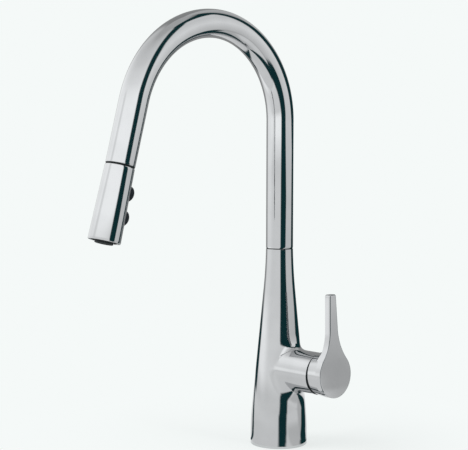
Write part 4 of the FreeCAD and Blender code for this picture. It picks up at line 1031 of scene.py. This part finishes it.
# %% Light of the floor
def floor_light(bearing, away):
    """Pale and dark share of the floor at a distance from the axis, with a painted shadow near the axis."""
    left = np.interp(away, [0.03, 0.08, 0.15, 0.25, 0.4], [-100, -115, -125, -132, -143])
    right = np.interp(away, [0.03, 0.05, 0.1, 0.14, 0.2, 0.3, 0.4], [56, 76, 91, 97, 101, 106, 110])
    dark = between(-1, np.interp(away, [0.03, 0.05, 0.1, 0.2, 0.3], [16, 23, 28, 30, 32]), 4, bearing)
    dark = np.maximum(dark, between(right, right + 38, 4, bearing))
    dark = np.maximum(dark, between(left - 8, left + 8, 4, bearing))
    # Painted shadow: the floor's pale is darker near the axis, and darker still under the boss.
    near = 1 - smooth(0.1, 0.25, away)
    pale = 0.53 - 0.03 * near - 0.1 * near * between(33, 82, 6, bearing) - 0.15 * between(82, 108, 6, bearing)
    return pale, dark


def in_room(away, bearing, height):
    """Points at this distance and height, at these bearings."""
    turn = np.radians(bearing)
    level = np.outer(np.cos(turn), to_camera) + np.outer(np.sin(turn), rightwards)
    return away * level + np.array((0, 0, height))


print("floor at 0.2 m dark from", [b for b in range(60, 140) if floor_light(b, 0.2)[1] > 0.5][0], "degrees")

# %% [markdown]
# Now the drum itself: rows of points for its floor, its wall and its ceiling, each with its light.
# The light is divided by what chrome gives back, so the numbers above are what the eye sees.

# %% Rows of the drum
WRAP_RADIUS, WRAP_TOP, WRAP_FOOT, CEILING = 0.4, 1.6, 0.0015, 0.33
bearings = np.linspace(-180, 180, 721)[:-1]
rows, lights = [], []
for away in np.linspace(0.03, WRAP_RADIUS, 60):
    rows.append(in_room(away, bearings, WRAP_FOOT))
    lights.append(floor_light(bearings, away))
for height in np.linspace(WRAP_FOOT, WRAP_TOP, 241)[1:]:
    rows.append(in_room(WRAP_RADIUS, bearings, height))
    lights.append(wall_light(bearings, height))
for away in (0.35, 0.2, 0.01):
    rows.append(in_room(away, bearings, WRAP_TOP))
    lights.append((np.full_like(bearings, CEILING), np.zeros_like(bearings)))
print("wrap rows", len(rows))

# %% Drum
CHROME_SHINE = 0.6
PALE, DARK = np.array((0.985, 1.0, 1.0)), np.array((0.004, 0.022, 0.025))
count = len(bearings)
faces = [(count * at + turn, count * at + (turn + 1) % count, count * (at + 1) + (turn + 1) % count,
          count * (at + 1) + turn) for at in range(len(rows) - 1) for turn in range(count)]
mesh = bpy.data.meshes.new("studio_wrap")
mesh.from_pydata(np.concatenate(rows).tolist(), [], faces)
pale, dark = (np.concatenate(shares)[:, None] for shares in zip(*lights))
light = (pale * (1 - dark) * PALE + dark * DARK) / CHROME_SHINE
paint = mesh.color_attributes.new("light", "FLOAT_COLOR", "POINT")
paint.data.foreach_set("color", np.hstack([light, np.ones_like(dark)]).ravel())
# The drum's glow is painted reflection light: it is no lamp, and only the chrome shows it.
reflection_glow = bpy.data.materials.new("painted_reflection_glow")
reflection_glow.use_nodes = True
tree, nodes = reflection_glow.node_tree, reflection_glow.node_tree.nodes
painted = nodes.new("ShaderNodeAttribute")
painted.attribute_name = "light"
shine = nodes.new("ShaderNodeEmission")
wire(tree, (painted, "Color", shine, "Color"), (shine, 0, nodes["Material Output"], "Surface"))
mesh.materials.append(reflection_glow)
wrap = placed("studio_wrap", mesh)
wrap.visible_camera = wrap.visible_diffuse = wrap.visible_shadow = wrap.visible_transmission = False
print("wrap faces", len(faces))

# %% [markdown]
# Two large soft lamps light the matt pieces and the floor. Mirrors don't show them.

# %% Lamps
def soft_lamp(name, spot, aim, size, power):
    """A square lamp at spot that looks at aim."""
    lamp = bpy.data.lights.new(name, "AREA")
    lamp.size, lamp.energy = size, power
    holder = placed(name, lamp)
    look = (Vector(aim) - Vector(spot)).to_track_quat("-Z", "Y")
    holder.matrix_world = Matrix.Translation(spot) @ look.to_matrix().to_4x4()
    holder.visible_glossy = False


soft_lamp("key_lamp", (-0.9, -1.4, 1.9), (0, -0.1, 0.2), 1.2, 25)
soft_lamp("fill_lamp", (1.8, 0.4, 1.2), (0, -0.1, 0.2), 1.2, 10)
print("studio ready")
